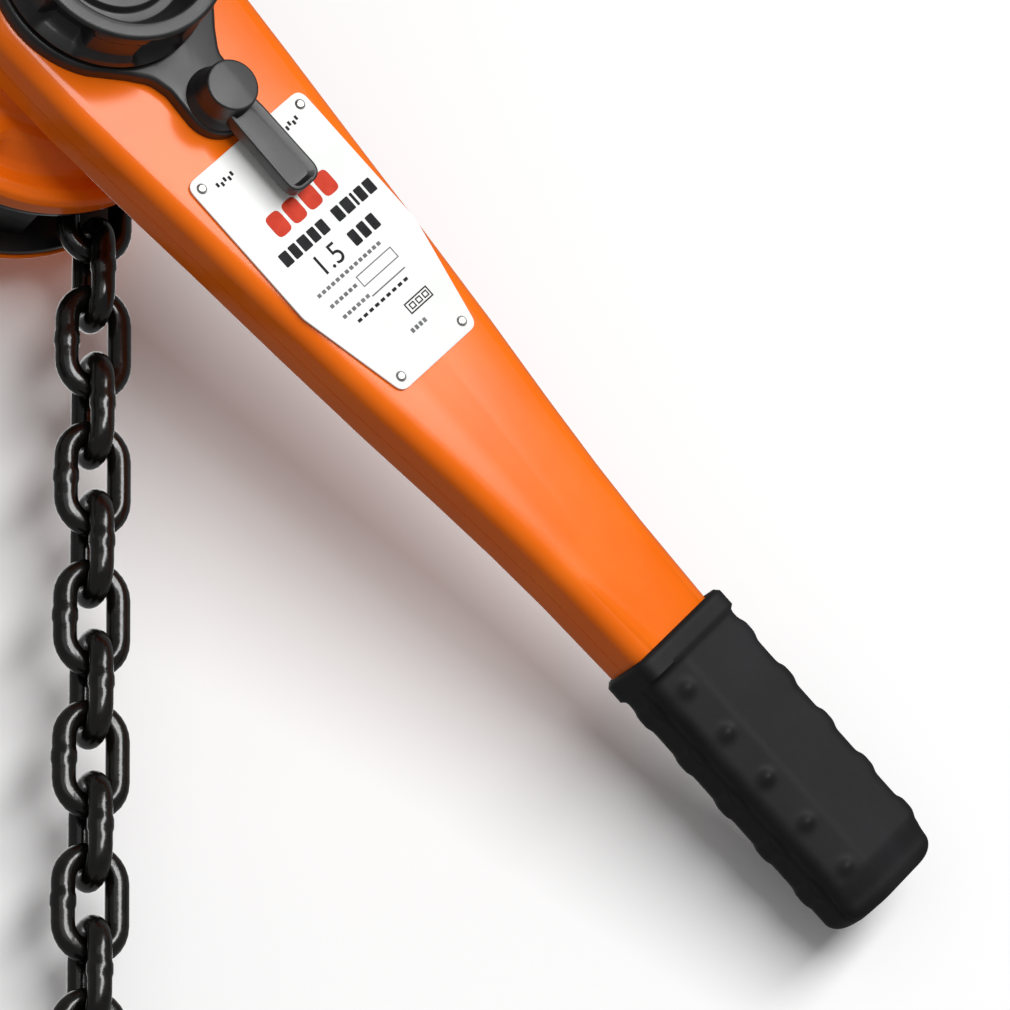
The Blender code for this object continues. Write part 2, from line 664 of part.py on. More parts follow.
for number, angle in enumerate(BRAKE_PAWL_ANGLES, 1):
    pivot = at_shaft(angle, BRAKE_PAWL_PIVOT)
    nose = at_shaft(angle - NOSE_ANGLE, RATCHET_ROOT + 1.7)
    way = Vector((nose[0] - pivot[0], nose[1] - pivot[1])).normalized()
    side = Vector((-way.y, way.x))
    if side.dot(Vector((SHAFT_X - pivot[0], SHAFT_Z - pivot[1]))) < 0:
        side = -side
    start, end = Vector(pivot) + way * 2, Vector(nose)
    arm = [start + side * 1.0, end + side * 0.4, end - side * 1.8, start - side * 4.4]
    made = disc(f"brake_pawl_{number}", pivot, 5.2, PAWL_FRONT + 0.4, RATCHET_BACK, "steel", 20)
    fuse(made, prism("arm", [tuple(p) for p in arm], PAWL_FRONT + 0.4, RATCHET_BACK))
    cut(made, disc("bore", pivot, 2.8 + CLEARANCE, PAWL_FRONT - 9, RATCHET_BACK + 9, count=16))

change_gear = turned(
    "change_gear",
    [
        (SHAFT_RADIUS + CLEARANCE, CHANGE_BACK), (FRICTION_RADIUS, CHANGE_BACK),
        (FRICTION_RADIUS, CHANGE_BACK - FLANGE), (CHANGE_NECK, CHANGE_BACK - FLANGE),
        (CHANGE_NECK, CHANGE_GEAR_FRONT), (SHAFT_RADIUS + CLEARANCE, CHANGE_GEAR_FRONT),
    ],
    SHAFT,
    "steel",
)
teeth = []
for k in range(CHANGE_TEETH):
    middle = LEVER_ANGLE + 360.0 * (k + 0.5) / CHANGE_TEETH
    teeth.append(at_shaft(middle - CHANGE_FOOT_HALF, CHANGE_ROOT))
    teeth.append(at_shaft(middle - CHANGE_CREST_HALF, CHANGE_TIP))
    teeth.append(at_shaft(middle + CHANGE_CREST_HALF, CHANGE_TIP))
    teeth.append(at_shaft(middle + CHANGE_FOOT_HALF, CHANGE_ROOT))
crown = prism("crown", teeth, CHANGE_GEAR_FRONT, CHANGE_GEAR_BACK)
cut(crown, disc("bore", SHAFT, SHAFT_RADIUS + CLEARANCE + 3, -200, 0))
fuse(change_gear, crown)

# Lever, in a frame with u along it and n across it

U = Vector((math.cos(math.radians(LEVER_ANGLE)), math.sin(math.radians(LEVER_ANGLE))))
N = Vector((-U.y, U.x))


def on_lever(u, n):
    spot = Vector(SHAFT) + U * u + N * n
    return spot.x, spot.y


def lever_outline(inset, end=LEVER_END):
    head = LEVER_HALF_WIDTHS[0][1] - inset
    outline = []
    for k in range(1, 10):
        a = math.pi / 2 + math.pi * k / 10
        outline.append(on_lever(head * math.cos(a), head * math.sin(a)))
    for u, half in LEVER_HALF_WIDTHS:
        outline.append(on_lever(min(u, end - inset), -(half - inset)))
    for u, half in LEVER_HALF_WIDTHS[::-1]:
        outline.append(on_lever(min(u, end - inset), half - inset))
    return outline


def lever_shell(name, levels, wall_levels, look):
    rings = []
    for y, inset in levels[::-1] + wall_levels:
        rings.append([(x, y, z) for x, z in lever_outline(inset)])
    return loft(name, rings, look)


front, back, wall = LEVER_FRONT, LEVER_BACK, LEVER_WALL
front_levels = [
    (LEVER_SPLIT - 0.15, 0.0), (front + 7.0, 0.0), (front + 3.0, 1.4),
    (front + 0.7, 4.0), (front, 8.0),
]
front_walls = [
    (LEVER_SPLIT - 0.15, wall), (front + 7.0, wall), (front + 4.0, wall + 1.2),
    (front + wall + 0.4, wall + 3.6), (front + wall, wall + 6.4),
]
lever_front_shell = lever_shell("lever_front_shell", front_levels, front_walls, "paint")
back_levels = [(LEVER_SPLIT + 0.15, 0.0), (back - 2.4, 0.0), (back - 0.7, 0.7), (back, 2.4)]
back_walls = [
    (LEVER_SPLIT + 0.15, wall), (back - 3.0, wall), (back - wall, wall + 1.6), (back - wall, wall + 2.4),
]
lever_rear_shell = lever_shell("lever_rear_shell", back_levels, back_walls, "paint")
cut(lever_rear_shell, disc("neck", SHAFT, NECK_ROOM, back - 9, back + 9, count=32))
HANDWHEEL_HUB = 12.0
cut(lever_front_shell, disc("hub", SHAFT, HANDWHEEL_HUB + 1.0, front - 9, front + 9, count=32))
SELECTOR = on_lever(SELECTOR_DISTANCE, 0.0)
STEM = 5.0
cut(lever_front_shell, disc("stem", SELECTOR, STEM + CLEARANCE, front - 9, front + 9, count=20))

grip_rows = (
    (0.0, 1.6), (1.2, 0.2), (7.0, 0.2), (8.6, 2.4), (16.0, 2.0), (26.0, 1.0), (31.0, 2.0), (41.0, 0.6),
    (46.0, 1.8), (56.0, 0.4), (61.0, 1.6), (71.0, 0.3), (76.0, 1.4), (86.0, 0.0), (92.0, 0.8),
    (100.0, 1.4), (105.0, 4.0), (107.0, 8.0),
)
rings = []
for along, inset in grip_rows:
    u = GRIP_START + along * GRIP_LENGTH / 107.0
    half, y0, y1 = GRIP_HALF_WIDTH - inset, GRIP_FRONT + inset * 0.5, GRIP_BACK - inset * 0.5
    corner = 6.0 if half > 14 else 4.5
    section = [
        (half, y0 + corner), (half - 0.3 * corner, y0 + 0.3 * corner), (half - corner, y0),
        (corner - half, y0), (0.3 * corner - half, y0 + 0.3 * corner), (-half, y0 + corner),
        (-half, y1 - corner), (0.3 * corner - half, y1 - 0.3 * corner), (corner - half, y1),
        (half - corner, y1), (half - 0.3 * corner, y1 - 0.3 * corner), (half, y1 - corner),
    ]
    rings.append([(on_lever(u, n)[0], y, on_lever(u, n)[1]) for n, y in section])
lever_grip = loft("lever_grip", rings, "rubber")
corners = (
    (GRIP_START - 3.0, 19.2), (GRIP_START + 2.0, 19.0),
    (GRIP_START + 2.4, 16.8), (LEVER_END + 0.5, 16.0),
)
socket = [on_lever(u, half) for u, half in corners] + [on_lever(u, -half) for u, half in corners[::-1]]
cut(lever_grip, prism("socket", socket, front - 0.4, back + 0.4))

PLATE_OUTLINE = (
    (73.0, -28.4), (126.5, -28.6), (129.5, -27.8), (164.8, -19.6), (166.8, -17.6), (166.8, 17.6),
    (164.8, 19.6), (129.5, 27.8), (126.5, 28.6), (73.0, 28.4), (71.2, 26.6), (71.2, -26.6),
)
label_back = front - CLEARANCE
prism("name_plate", [on_lever(u, n) for u, n in PLATE_OUTLINE], label_back - 0.9, label_back, "plate")

# Selector housing, a black casting between the lever and the handwheel
HOUSING_BACK = front - CLEARANCE
HOUSING_FRONT = HOUSING_BACK - 5.2
housing = []
for a in range(50, 311, 10):
    housing.append(on_lever(37.0 * math.cos(math.radians(a)), 37.0 * math.sin(math.radians(a))))
housing += [on_lever(u, n) for u, n in ((33.0, -18.5), (39.0, -13.0), (45.0, -11.4))]
for a in range(-95, 96, 19):
    t = math.radians(a)
    housing.append(on_lever(SELECTOR_DISTANCE + 12.0 * math.cos(t), 12.0 * math.sin(t)))
housing += [on_lever(u, n) for u, n in ((45.0, 13.0), (39.0, 17.5), (32.0, 24.0))]
selector_housing = prism("selector_housing", housing, HOUSING_FRONT, HOUSING_BACK, "black")
cut(selector_housing, disc("hub", SHAFT, HANDWHEEL_HUB + 1.0, -200, 0, count=32))
cut(selector_housing, disc("stem", SELECTOR, STEM + CLEARANCE, -200, 0, count=20))

knob_back = HOUSING_FRONT - CLEARANCE
stem_back = LEVER_BACK - LEVER_WALL - 0.6
selector_knob = turned(
    "selector_knob",
    [
        (0.0, BOSS_TOP), (7.6, BOSS_TOP), (8.3, BOSS_TOP + 0.8), (8.8, BOSS_TOP + 5.0),
        (10.4, knob_back), (STEM, knob_back), (STEM, stem_back), (0.0, stem_back),
    ],
    SELECTOR,
    "black",
    24,
)
paddle_half = PADDLE_WIDTH / 2
paddle = [(SELECTOR_DISTANCE, -paddle_half), (PADDLE_END - 6, -paddle_half)]
paddle += [(PADDLE_END - 1.8, -paddle_half + 1.8), (PADDLE_END, -paddle_half + 6)]
paddle += [(PADDLE_END, paddle_half - 6), (PADDLE_END - 1.8, paddle_half - 1.8)]
paddle += [(PADDLE_END - 6, paddle_half), (SELECTOR_DISTANCE, paddle_half)]
fuse(selector_knob, prism("paddle", [on_lever(u, n) for u, n in paddle], -89.0, -84.2))

PAWL_REACH = SELECTOR_DISTANCE - CHANGE_TIP - 2 * CLEARANCE
pawl_front, pawl_back = LEVER_FRONT + LEVER_WALL + 6.0, CHANGE_GEAR_BACK
pawl = []
for turn, reach in (
    (-60, 9), (-38, 14), (-28, PAWL_REACH), (-22, PAWL_REACH), (-14, 24), (14, 24), (22, PAWL_REACH),
    (28, PAWL_REACH), (38, 14), (60, 9), (100, 9), (140, 9), (180, 9), (220, 9), (260, 9),
):
    a = math.radians(180.0 + turn)
    pawl.append(on_lever(SELECTOR_DISTANCE + reach * math.cos(a), reach * math.sin(a)))
changeover_pawl = prism("changeover_pawl", pawl, pawl_front, pawl_back, "steel")
cut(changeover_pawl, disc("bore", SELECTOR, STEM + CLEARANCE, -200, 0, count=20))

# Handwheel and nut


def wheel_ring(radius, depth, y, count=36):
    ring = []
    for k in range(count):
        a = 2 * math.pi * k / count
        hollow = max(0.0, math.cos(WHEEL_LOBES * a)) ** 0.7
        reach = radius - depth * hollow
        ring.append((SHAFT_X + reach * math.cos(a), y, SHAFT_Z + reach * math.sin(a)))
    return ring


bore, rim, face = SHAFT_RADIUS + CLEARANCE, WHEEL_RADIUS, WHEEL_FRONT
rings = [
    wheel_ring(radius, depth, y)
    for radius, depth, y in (
        (bore, 0.0, LEVER_FRONT + 3.0), (HANDWHEEL_HUB, 0.0, LEVER_FRONT + 3.0),
        (HANDWHEEL_HUB, 0.0, WHEEL_BACK),
        (rim - 1.0, 0.0, WHEEL_BACK), (rim + 1.0, 1.0, WHEEL_BACK - 3.0), (rim, 5.0, WHEEL_BACK - 7.0),
        (rim, 6.0, face + 8.0), (rim + 0.2, 2.0, face + 4.6), (rim + 0.2, 0.0, face + 1.4),
        (rim - 0.8, 0.0, face),
        (rim - 5.0, 0.0, face), (rim - 6.0, 0.0, face + 1.2),
        (HUB_DISC_RADIUS + 3.0, 0.0, HUB_DISC_FRONT + 3.5),
        (HUB_DISC_RADIUS + 0.6, 0.0, HUB_DISC_FRONT + 3.5), (HUB_DISC_RADIUS - 0.4, 0.0, HUB_DISC_FRONT),
        (12.5, 0.0, HUB_DISC_FRONT), (12.0, 0.0, HUB_DISC_FRONT + 4.0), (bore, 0.0, HUB_DISC_FRONT + 4.0),
    )
]
loft("handwheel", rings, "black", loop=True)
nut_back = HUB_DISC_FRONT + 4.0 - CLEARANCE
castle_nut = disc("castle_nut", SHAFT, 10.4, NUT_FRONT, nut_back, "steel", 6, 0.3)
cut(castle_nut, disc("bore", SHAFT, SHAFT_RADIUS + CLEARANCE, -200, 0))
for k in range(3):
    a = 0.3 + math.pi / 6 + math.pi * k / 3
    slot = Vector((math.cos(a), math.sin(a)))
    across = Vector((-slot.y, slot.x))
    outline = []
    for along, off in ((12, 1.3), (12, -1.3), (-12, -1.3), (-12, 1.3)):
        spot = Vector(SHAFT) + slot * along + across * off
        outline.append((spot.x, spot.y))
    cut(castle_nut, prism("slot", outline, NUT_FRONT - 1, NUT_FRONT + 2.2))

# Hooks, latches and yokes


def hook(name, saddle, turn, look):
    """Swivel hook. turn is 1 for the top one and -1 for the bottom one."""
    middle = -HOOK_BOWL_RADIUS
    reach = HOOK_BOWL_RADIUS
    rows = [
        (0.0, -91.0, HOOK_SHANK_RADIUS, HOOK_SHANK_RADIUS),
        (0.0, -64.0, HOOK_SHANK_RADIUS, HOOK_SHANK_RADIUS),
        (-1.5, -58.5, 9.0, 8.4),
        (-7.5, -53.0, 9.2, 8.2),
    ]
    for a in range(230, -29, -23):
        t = math.radians(a)
        grown = max(0.0, 1.0 - abs(a - 95) / 125.0)
        half = 8.2 + 2.6 * grown
        if a < 30:
            half = 8.6 - 3.8 * (30 - a) / 55.0
        out = reach + half + max(0.0, (10 - a)) * 0.05
        rows.append((out * math.cos(t), middle + out * math.sin(t), half, min(7.6, half + 0.6)))
    path = [Vector((x, z)) for x, z, _, _ in rows]
    rings = []
    for k, (x, z, half, thick) in enumerate(rows):
        way = (path[min(k + 1, len(path) - 1)] - path[max(k - 1, 0)]).normalized()
        side = Vector((-way.y, way.x))
        if k < 2:
            side = Vector((-1.0, 0.0))
        ring = []
        for s in range(8):
            b = 2 * math.pi * s / 8
            spot = Vector((x, z)) + side * half * math.cos(b)
            ring.append((spot.x, thick * math.sin(b), saddle + turn * spot.y))
        rings.append(ring)
    made = loft(name, rings, look)
    fuse(made, post("head", 11.0, *sorted((saddle - turn * 91.5, saddle - turn * 83.0)), look, 20))
    fuse(made, post("collar", 12.5, *sorted((saddle - turn * 72.4, saddle - turn * 66.5)), look, 20))
    lug = (LATCH_PIVOT[0], saddle + turn * LATCH_PIVOT[1])
    foot = (LATCH_PIVOT[0] - 9.0, saddle + turn * (LATCH_PIVOT[1] - 3.0))
    fuse(made, prism("lug", rod_outline(lug, foot, 4.0, 6.0), -3.6, 3.6, look))
    fuse(made, disc("pin", lug, 2.0, -8.2, 8.2, look, 12))
    return made


def rod_outline(a, b, ra, rb, count=16):
    """Taut outline round two circles."""
    a, b = Vector(a), Vector(b)
    way = (b - a).normalized()
    side = Vector((-way.y, way.x))
    tilt = math.asin(max(-1.0, min(1.0, (ra - rb) / (b - a).length)))
    outline = []
    for k in range(count // 2 + 1):
        t = math.pi / 2 - tilt + (math.pi + 2 * tilt) * k / (count // 2)
        outline.append(tuple(a + (way * math.cos(t) + side * math.sin(t)) * ra))
    for k in range(count // 2 + 1):
        t = -math.pi / 2 + tilt + (math.pi - 2 * tilt) * k / (count // 2)
        outline.append(tuple(b + (way * math.cos(t) + side * math.sin(t)) * rb))
    return outline


LATCH_PIVOT = (12.5, -57.0)
LATCH_TIP = (20.0, -33.5)


def latch(name, saddle, turn):
    pivot = Vector((LATCH_PIVOT[0], saddle + turn * LATCH_PIVOT[1]))
    tip = Vector((LATCH_TIP[0], saddle + turn * LATCH_TIP[1]))
    way = (tip - pivot).normalized()
    side = Vector((-way.y, way.x))
    if side.x > 0:
        side = -side
    root = pivot + way * 7.5
    web = [root + side * 1.0, tip + side * 1.0, tip - side * 1.2, root - side * 1.2]
    made = prism(name, [tuple(p) for p in web], -6.2, 6.2, "steel")
    for y0, y1 in ((-6.2, -4.4), (4.4, 6.2)):
        fuse(made, prism("cheek", rod_outline(tuple(pivot), tuple(pivot + way * 12.0), 4.6, 2.6), y0, y1))
        cut(made, disc("bore", tuple(pivot), 2.0 + CLEARANCE, y0 - 0.5, y1 + 0.5, count=16))
    return made


hook("top_hook", 0.0, 1, "paint")
latch("top_latch", 0.0, 1)
hook("bottom_hook", BOTTOM_BOWL_Z, -1, "paint")
latch("bottom_latch", BOTTOM_BOWL_Z, -1)

YOKE_HALF_X = 14.0
YOKE_TOP = -73.0
YOKE_BRIDGE = -82.0
cheek_y = PLATE_INNER - 0.4
yoke_outline = [(-YOKE_HALF_X, YOKE_TOP - 2), (-YOKE_HALF_X + 2, YOKE_TOP), (YOKE_HALF_X - 2, YOKE_TOP)]
yoke_outline += [(YOKE_HALF_X, YOKE_TOP - 2), (YOKE_HALF_X, TOP_PIN_Z)]
for k in range(1, 12):
    a = -math.pi * k / 12
    yoke_outline.append((YOKE_HALF_X * math.cos(a), TOP_PIN_Z + YOKE_HALF_X * math.sin(a)))
yoke_outline.append((-YOKE_HALF_X, TOP_PIN_Z))
top_yoke = prism("top_yoke", yoke_outline, -cheek_y, cheek_y, "dark")
cut(top_yoke, block("room", (-30, 30), (-11.8, 11.8), (-200, YOKE_BRIDGE)))
cut(top_yoke, post("bore", HOOK_SHANK_RADIUS + 0.4, -100, 0))
cut(top_yoke, disc("pin", TOP_PIN, TOP_PIN_RADIUS + CLEARANCE, -30, 30))
turned(
    "top_pin",
    [
        (0.0, -PLATE_OUTER - 2.6), (TOP_PIN_RADIUS + 2.5, -PLATE_OUTER - 2.6),
        (TOP_PIN_RADIUS + 2.5, -PLATE_OUTER - CLEARANCE), (TOP_PIN_RADIUS, -PLATE_OUTER - CLEARANCE),
        (TOP_PIN_RADIUS, PLATE_OUTER + 3.0), (0.0, PLATE_OUTER + 3.0),
    ],
    TOP_PIN,
    "steel",
    24,
)

LOWER_HALF_X = 15.0
LOWER_HALF_Y = 13.5
lower_top = CHAIN_PIN_Z + 10.0
lower = [(-LOWER_HALF_X + 4, lower_top), (LOWER_HALF_X - 4, lower_top), (LOWER_HALF_X, lower_top - 5)]
lower += [(LOWER_HALF_X, BOTTOM_YOKE_FOOT + 3), (LOWER_HALF_X - 3, BOTTOM_YOKE_FOOT)]
lower += [(-LOWER_HALF_X + 3, BOTTOM_YOKE_FOOT), (-LOWER_HALF_X, BOTTOM_YOKE_FOOT + 3)]
lower += [(-LOWER_HALF_X, lower_top - 5)]
bottom_yoke = prism("bottom_yoke", lower, -LOWER_HALF_Y, LOWER_HALF_Y, "dark")
link_room = CHAIN_WIRE / 2 + 0.6
cut(bottom_yoke, block("slot", (-30, 30), (-link_room, link_room), (CHAIN_PIN_Z - 13.3, CHAIN_PIN_Z + 30)))
window = (BOTTOM_BOWL_Z + 82.4, BOTTOM_BOWL_Z + 92.6)
cut(bottom_yoke, block("window", (-11.6, 11.6), (-30, 30), window))
cut(bottom_yoke, post("bore", HOOK_SHANK_RADIUS + 0.4, BOTTOM_YOKE_FOOT - 5, BOTTOM_BOWL_Z + 88))
cut(bottom_yoke, disc("pin", (0.0, CHAIN_PIN_Z), CHAIN_PIN_RADIUS + CLEARANCE, -30, 30))
pin_half = LOWER_HALF_Y + 1.5
disc("chain_pin", (0.0, CHAIN_PIN_Z), CHAIN_PIN_RADIUS, -pin_half, pin_half, "steel", 20)


# Origins of the moving pieces, on their joint axes


def set_origin(name, x, y, z):
    made = bpy.data.objects[name]
    here = Vector((MM * x, MM * y, MM * z))
    for vertex in made.data.vertices:
        vertex.co -= here
    made.location = here


def lever_at(along, y):
    turn = math.radians(LEVER_ANGLE)
    return SHAFT_X + along * math.cos(turn), y, SHAFT_Z + along * math.sin(turn)


ON_SHAFT = (
    "load_sheave", "load_gear", "sheave_chain", "pinion_shaft", "brake_hub", "friction_disc_inner",
    "friction_disc_outer", "ratchet_wheel", "change_gear", "handwheel", "castle_nut",
    "lever_front_shell", "lever_rear_shell", "lever_grip", "name_plate", "selector_housing",
)
for name in ON_SHAFT:
    set_origin(name, SHAFT_X, 0.0, SHAFT_Z)
for name in ("selector_knob", "changeover_pawl"):
    set_origin(name, *lever_at(SELECTOR_DISTANCE, BOSS_TOP))
for name, centre in (
    ("disc_gear_1", DISC_CENTRES[0]),
    ("disc_gear_2", DISC_CENTRES[1]),
    ("brake_pawl_1", PAWL_CENTRES[0]),
    ("brake_pawl_2", PAWL_CENTRES[1]),
    ("guide_roller_1", ROLLER_CENTRES[0]),
    ("guide_roller_2", ROLLER_CENTRES[1]),
):
    set_origin(name, centre[0], 0.0, centre[1])
for number in range(LOAD_HEAD_LINKS + 1, LOAD_LINKS + 1):
    upper = STRAND_TOP - CHAIN_PITCH * (number - 1.5)
    set_origin(f"load_link_{number:02d}", 0.0, 0.0, upper - LINK_INSIDE_LENGTH / 2 - CHAIN_WIRE / 2)
set_origin("load_chain_head", 0.0, 0.0, STRAND_TOP)
set_origin("tail_chain", TAIL_X, 0.0, STRAND_TOP)
tail_end = STRAND_TOP - CHAIN_PITCH * (TAIL_LINKS - 0.5)
set_origin("tail_ring", TAIL_X, 0.0, tail_end - LINK_INSIDE_LENGTH / 2 - CHAIN_WIRE / 2)
set_origin("top_yoke", 0.0, 0.0, YOKE_BRIDGE)
set_origin("top_latch", LATCH_PIVOT[0], 0.0, LATCH_PIVOT[1])
set_origin("bottom_hook", 0.0, 0.0, BOTTOM_YOKE_FOOT)
set_origin("bottom_latch", LATCH_PIVOT[0], 0.0, BOTTOM_BOWL_Z - LATCH_PIVOT[1])
for name in ("bottom_yoke", "chain_pin"):
    set_origin(name, 0.0, 0.0, CHAIN_PIN_Z)
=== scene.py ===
import math

import bmesh
import bpy
from mathutils import Matrix, Quaternion, Vector


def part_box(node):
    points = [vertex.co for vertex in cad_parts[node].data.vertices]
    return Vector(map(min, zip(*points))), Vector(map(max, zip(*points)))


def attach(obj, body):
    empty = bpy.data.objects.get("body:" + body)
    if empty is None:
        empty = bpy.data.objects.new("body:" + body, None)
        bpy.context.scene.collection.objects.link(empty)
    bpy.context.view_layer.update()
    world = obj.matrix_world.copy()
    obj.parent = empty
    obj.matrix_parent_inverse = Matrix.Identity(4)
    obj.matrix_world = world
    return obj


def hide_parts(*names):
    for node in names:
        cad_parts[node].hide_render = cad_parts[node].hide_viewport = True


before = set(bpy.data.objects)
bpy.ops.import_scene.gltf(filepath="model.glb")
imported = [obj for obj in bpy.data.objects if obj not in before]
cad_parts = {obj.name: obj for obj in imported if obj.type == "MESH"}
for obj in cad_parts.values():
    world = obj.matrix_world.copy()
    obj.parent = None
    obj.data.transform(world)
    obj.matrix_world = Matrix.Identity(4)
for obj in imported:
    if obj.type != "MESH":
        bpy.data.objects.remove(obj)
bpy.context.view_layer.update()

print("frame loaded:", len(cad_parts), "nodes")

mm = 0.001  # shapes are worked out in millimetres and brought to metres when a piece is finished


def boxOf(node):
    low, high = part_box(node)
    return low / mm, high / mm


def middleOf(node):
    low, high = boxOf(node)
    return (low + high) / 2


shaft = middleOf("load_sheave")
shaftAt = (shaft.x, shaft.z)
topPin = middleOf("top_pin")
chainPin = middleOf("chain_pin")
firstLoose = middleOf("load_link_04")
tailRing = middleOf("tail_ring")

leverAngle = math.radians(-44.2)  # the lever's way from the shaft
along = Vector((math.cos(leverAngle), math.sin(leverAngle)))
across = Vector((-along.y, along.x))


def onLever(u, n):
    return shaft.x + along.x * u + across.x * n, shaft.z + along.y * u + across.y * n


# Finishes
# Each look: dark and light tone, range of roughness, metal, shine off the plain surface, clear coat, broad
# clouds and fine grain per metre, then how strongly the grain shows as relief and how deep it is in metres

looks = {
    "orangePaint": {
        "tones": ((0.87, 0.145, 0.003), (0.94, 0.175, 0.007)), "rough": (0.15, 0.22), "metal": 0.0,
        "shine": 0.26, "coat": 0.0, "cloud": 26, "grain": 620, "bump": 0.04, "depth": 0.00012,
    },
    "blackCasting": {
        "tones": ((0.006, 0.006, 0.0065), (0.015, 0.015, 0.016)), "rough": (0.36, 0.50), "metal": 0.0,
        "shine": 0.45, "coat": 0.10, "cloud": 90, "grain": 2600, "bump": 0.22, "depth": 0.00012,
    },
    "blackPlate": {
        "tones": ((0.006, 0.006, 0.0065), (0.012, 0.012, 0.013)), "rough": (0.30, 0.42), "metal": 0.0,
        "shine": 0.35, "coat": 0.1, "cloud": 60, "grain": 1400, "bump": 0.10, "depth": 0.0001,
    },
    "chainLacquer": {
        "tones": ((0.0018, 0.0015, 0.0012), (0.006, 0.005, 0.004)), "rough": (0.15, 0.30), "metal": 0.0,
        "shine": 0.4, "coat": 0.3, "cloud": 220, "grain": 520, "bump": 0.30, "depth": 0.0003,
    },
    "gripRubber": {
        "tones": ((0.006, 0.006, 0.0065), (0.014, 0.014, 0.0155)), "rough": (0.50, 0.68), "metal": 0.0,
        "shine": 0.22, "coat": 0.0, "cloud": 48, "grain": 3200, "bump": 0.20, "depth": 0.0001,
    },
    "labelWhite": {
        "tones": ((0.86, 0.87, 0.86), (0.92, 0.93, 0.91)), "rough": (0.35, 0.45), "metal": 0.0,
        "shine": 0.25, "coat": 0.0, "cloud": 30, "grain": 900, "bump": 0.03, "depth": 0.00005,
    },
    "printRed": {
        "tones": ((0.56, 0.040, 0.018), (0.66, 0.060, 0.028)), "rough": (0.5, 0.6), "metal": 0.0,
        "shine": 0.12, "coat": 0.0, "cloud": 300, "grain": 3000, "bump": 0.05, "depth": 0.00003,
    },
    "printBlack": {
        "tones": ((0.008, 0.008, 0.009), (0.020, 0.020, 0.022)), "rough": (0.5, 0.6), "metal": 0.0,
        "shine": 0.12, "coat": 0.0, "cloud": 300, "grain": 3000, "bump": 0.05, "depth": 0.00003,
    },
    "printGrey": {
        "tones": ((0.14, 0.14, 0.15), (0.20, 0.20, 0.21)), "rough": (0.5, 0.6), "metal": 0.0,
        "shine": 0.12, "coat": 0.0, "cloud": 300, "grain": 3000, "bump": 0.05, "depth": 0.00003,
    },
    "zincSteel": {
        "tones": ((0.42, 0.42, 0.43), (0.60, 0.59, 0.57)), "rough": (0.24, 0.42), "metal": 1.0,
        "shine": 0.5, "coat": 0.0, "cloud": 140, "grain": 2200, "bump": 0.08, "depth": 0.0001,
    },
    "machinedSteel": {
        "tones": ((0.36, 0.36, 0.37), (0.52, 0.52, 0.53)), "rough": (0.22, 0.36), "metal": 1.0,
        "shine": 0.5, "coat": 0.0, "cloud": 90, "grain": 1800, "bump": 0.06, "depth": 0.0001,
    },
    "darkForging": {
        "tones": ((0.018, 0.018, 0.019), (0.045, 0.044, 0.043)), "rough": (0.36, 0.52), "metal": 0.7,
        "shine": 0.5, "coat": 0.1, "cloud": 110, "grain": 900, "bump": 0.25, "depth": 0.0002,
    },
    "brakeLining": {
        "tones": ((0.09, 0.055, 0.03), (0.22, 0.15, 0.09)), "rough": (0.75, 0.9), "metal": 0.0,
        "shine": 0.3, "coat": 0.0, "cloud": 900, "grain": 2600, "bump": 0.35, "depth": 0.0002,
    },
}


def noiseNode(nodes, links, place, scale, detail):
    made = nodes.new("ShaderNodeTexNoise")
    made.inputs["Scale"].default_value = scale
    made.inputs["Detail"].default_value = detail
    links.new(place.outputs["Object"], made.inputs["Vector"])
    return made


def makeFinish(name, look):
    made = bpy.data.materials.new(name)
    made.use_nodes = True
    nodes, links = made.node_tree.nodes, made.node_tree.links
    shader = nodes["Principled BSDF"]
    shader.inputs["Metallic"].default_value = look["metal"]
    shader.inputs["Specular IOR Level"].default_value = look["shine"]
    shader.inputs["Coat Weight"].default_value = look["coat"]
    shader.inputs["Coat Roughness"].default_value = 0.08
    place = nodes.new("ShaderNodeTexCoord")
    cloud = noiseNode(nodes, links, place, look["cloud"], 5)
    grain = noiseNode(nodes, links, place, look["grain"], 3)
    tone = nodes.new("ShaderNodeValToRGB")
    tone.color_ramp.elements[0].position = 0.32
    tone.color_ramp.elements[1].position = 0.68
    tone.color_ramp.elements[0].color = (*look["tones"][0], 1)
    tone.color_ramp.elements[1].color = (*look["tones"][1], 1)
    links.new(cloud.outputs["Fac"], tone.inputs["Fac"])
    links.new(tone.outputs["Color"], shader.inputs["Base Color"])
    gloss = nodes.new("ShaderNodeMapRange")
    gloss.inputs["From Min"].default_value = 0.3
    gloss.inputs["From Max"].default_value = 0.7
    gloss.inputs["To Min"].default_value = look["rough"][0]
    gloss.inputs["To Max"].default_value = look["rough"][1]
    both = nodes.new("ShaderNodeMath")
    both.operation = "MULTIPLY_ADD"  # cloud and grain together, half each
    half = nodes.new("ShaderNodeMath")
    half.operation = "MULTIPLY"
    half.inputs[1].default_value = 0.5
    both.inputs[1].default_value = 0.5
    links.new(grain.outputs["Fac"], half.inputs[0])
    links.new(cloud.outputs["Fac"], both.inputs[0])
    links.new(half.outputs["Value"], both.inputs[2])
    links.new(both.outputs["Value"], gloss.inputs["Value"])
    links.new(gloss.outputs["Result"], shader.inputs["Roughness"])
    bump = nodes.new("ShaderNodeBump")
    bump.inputs["Strength"].default_value = look["bump"]
    bump.inputs["Distance"].default_value = look["depth"]
    links.new(grain.outputs["Fac"], bump.inputs["Height"])
    links.new(bump.outputs["Normal"], shader.inputs["Normal"])
    return made


finishes = {name: makeFinish(name, look) for name, look in looks.items()}
print("finishes made:", len(finishes))

# Shape tools


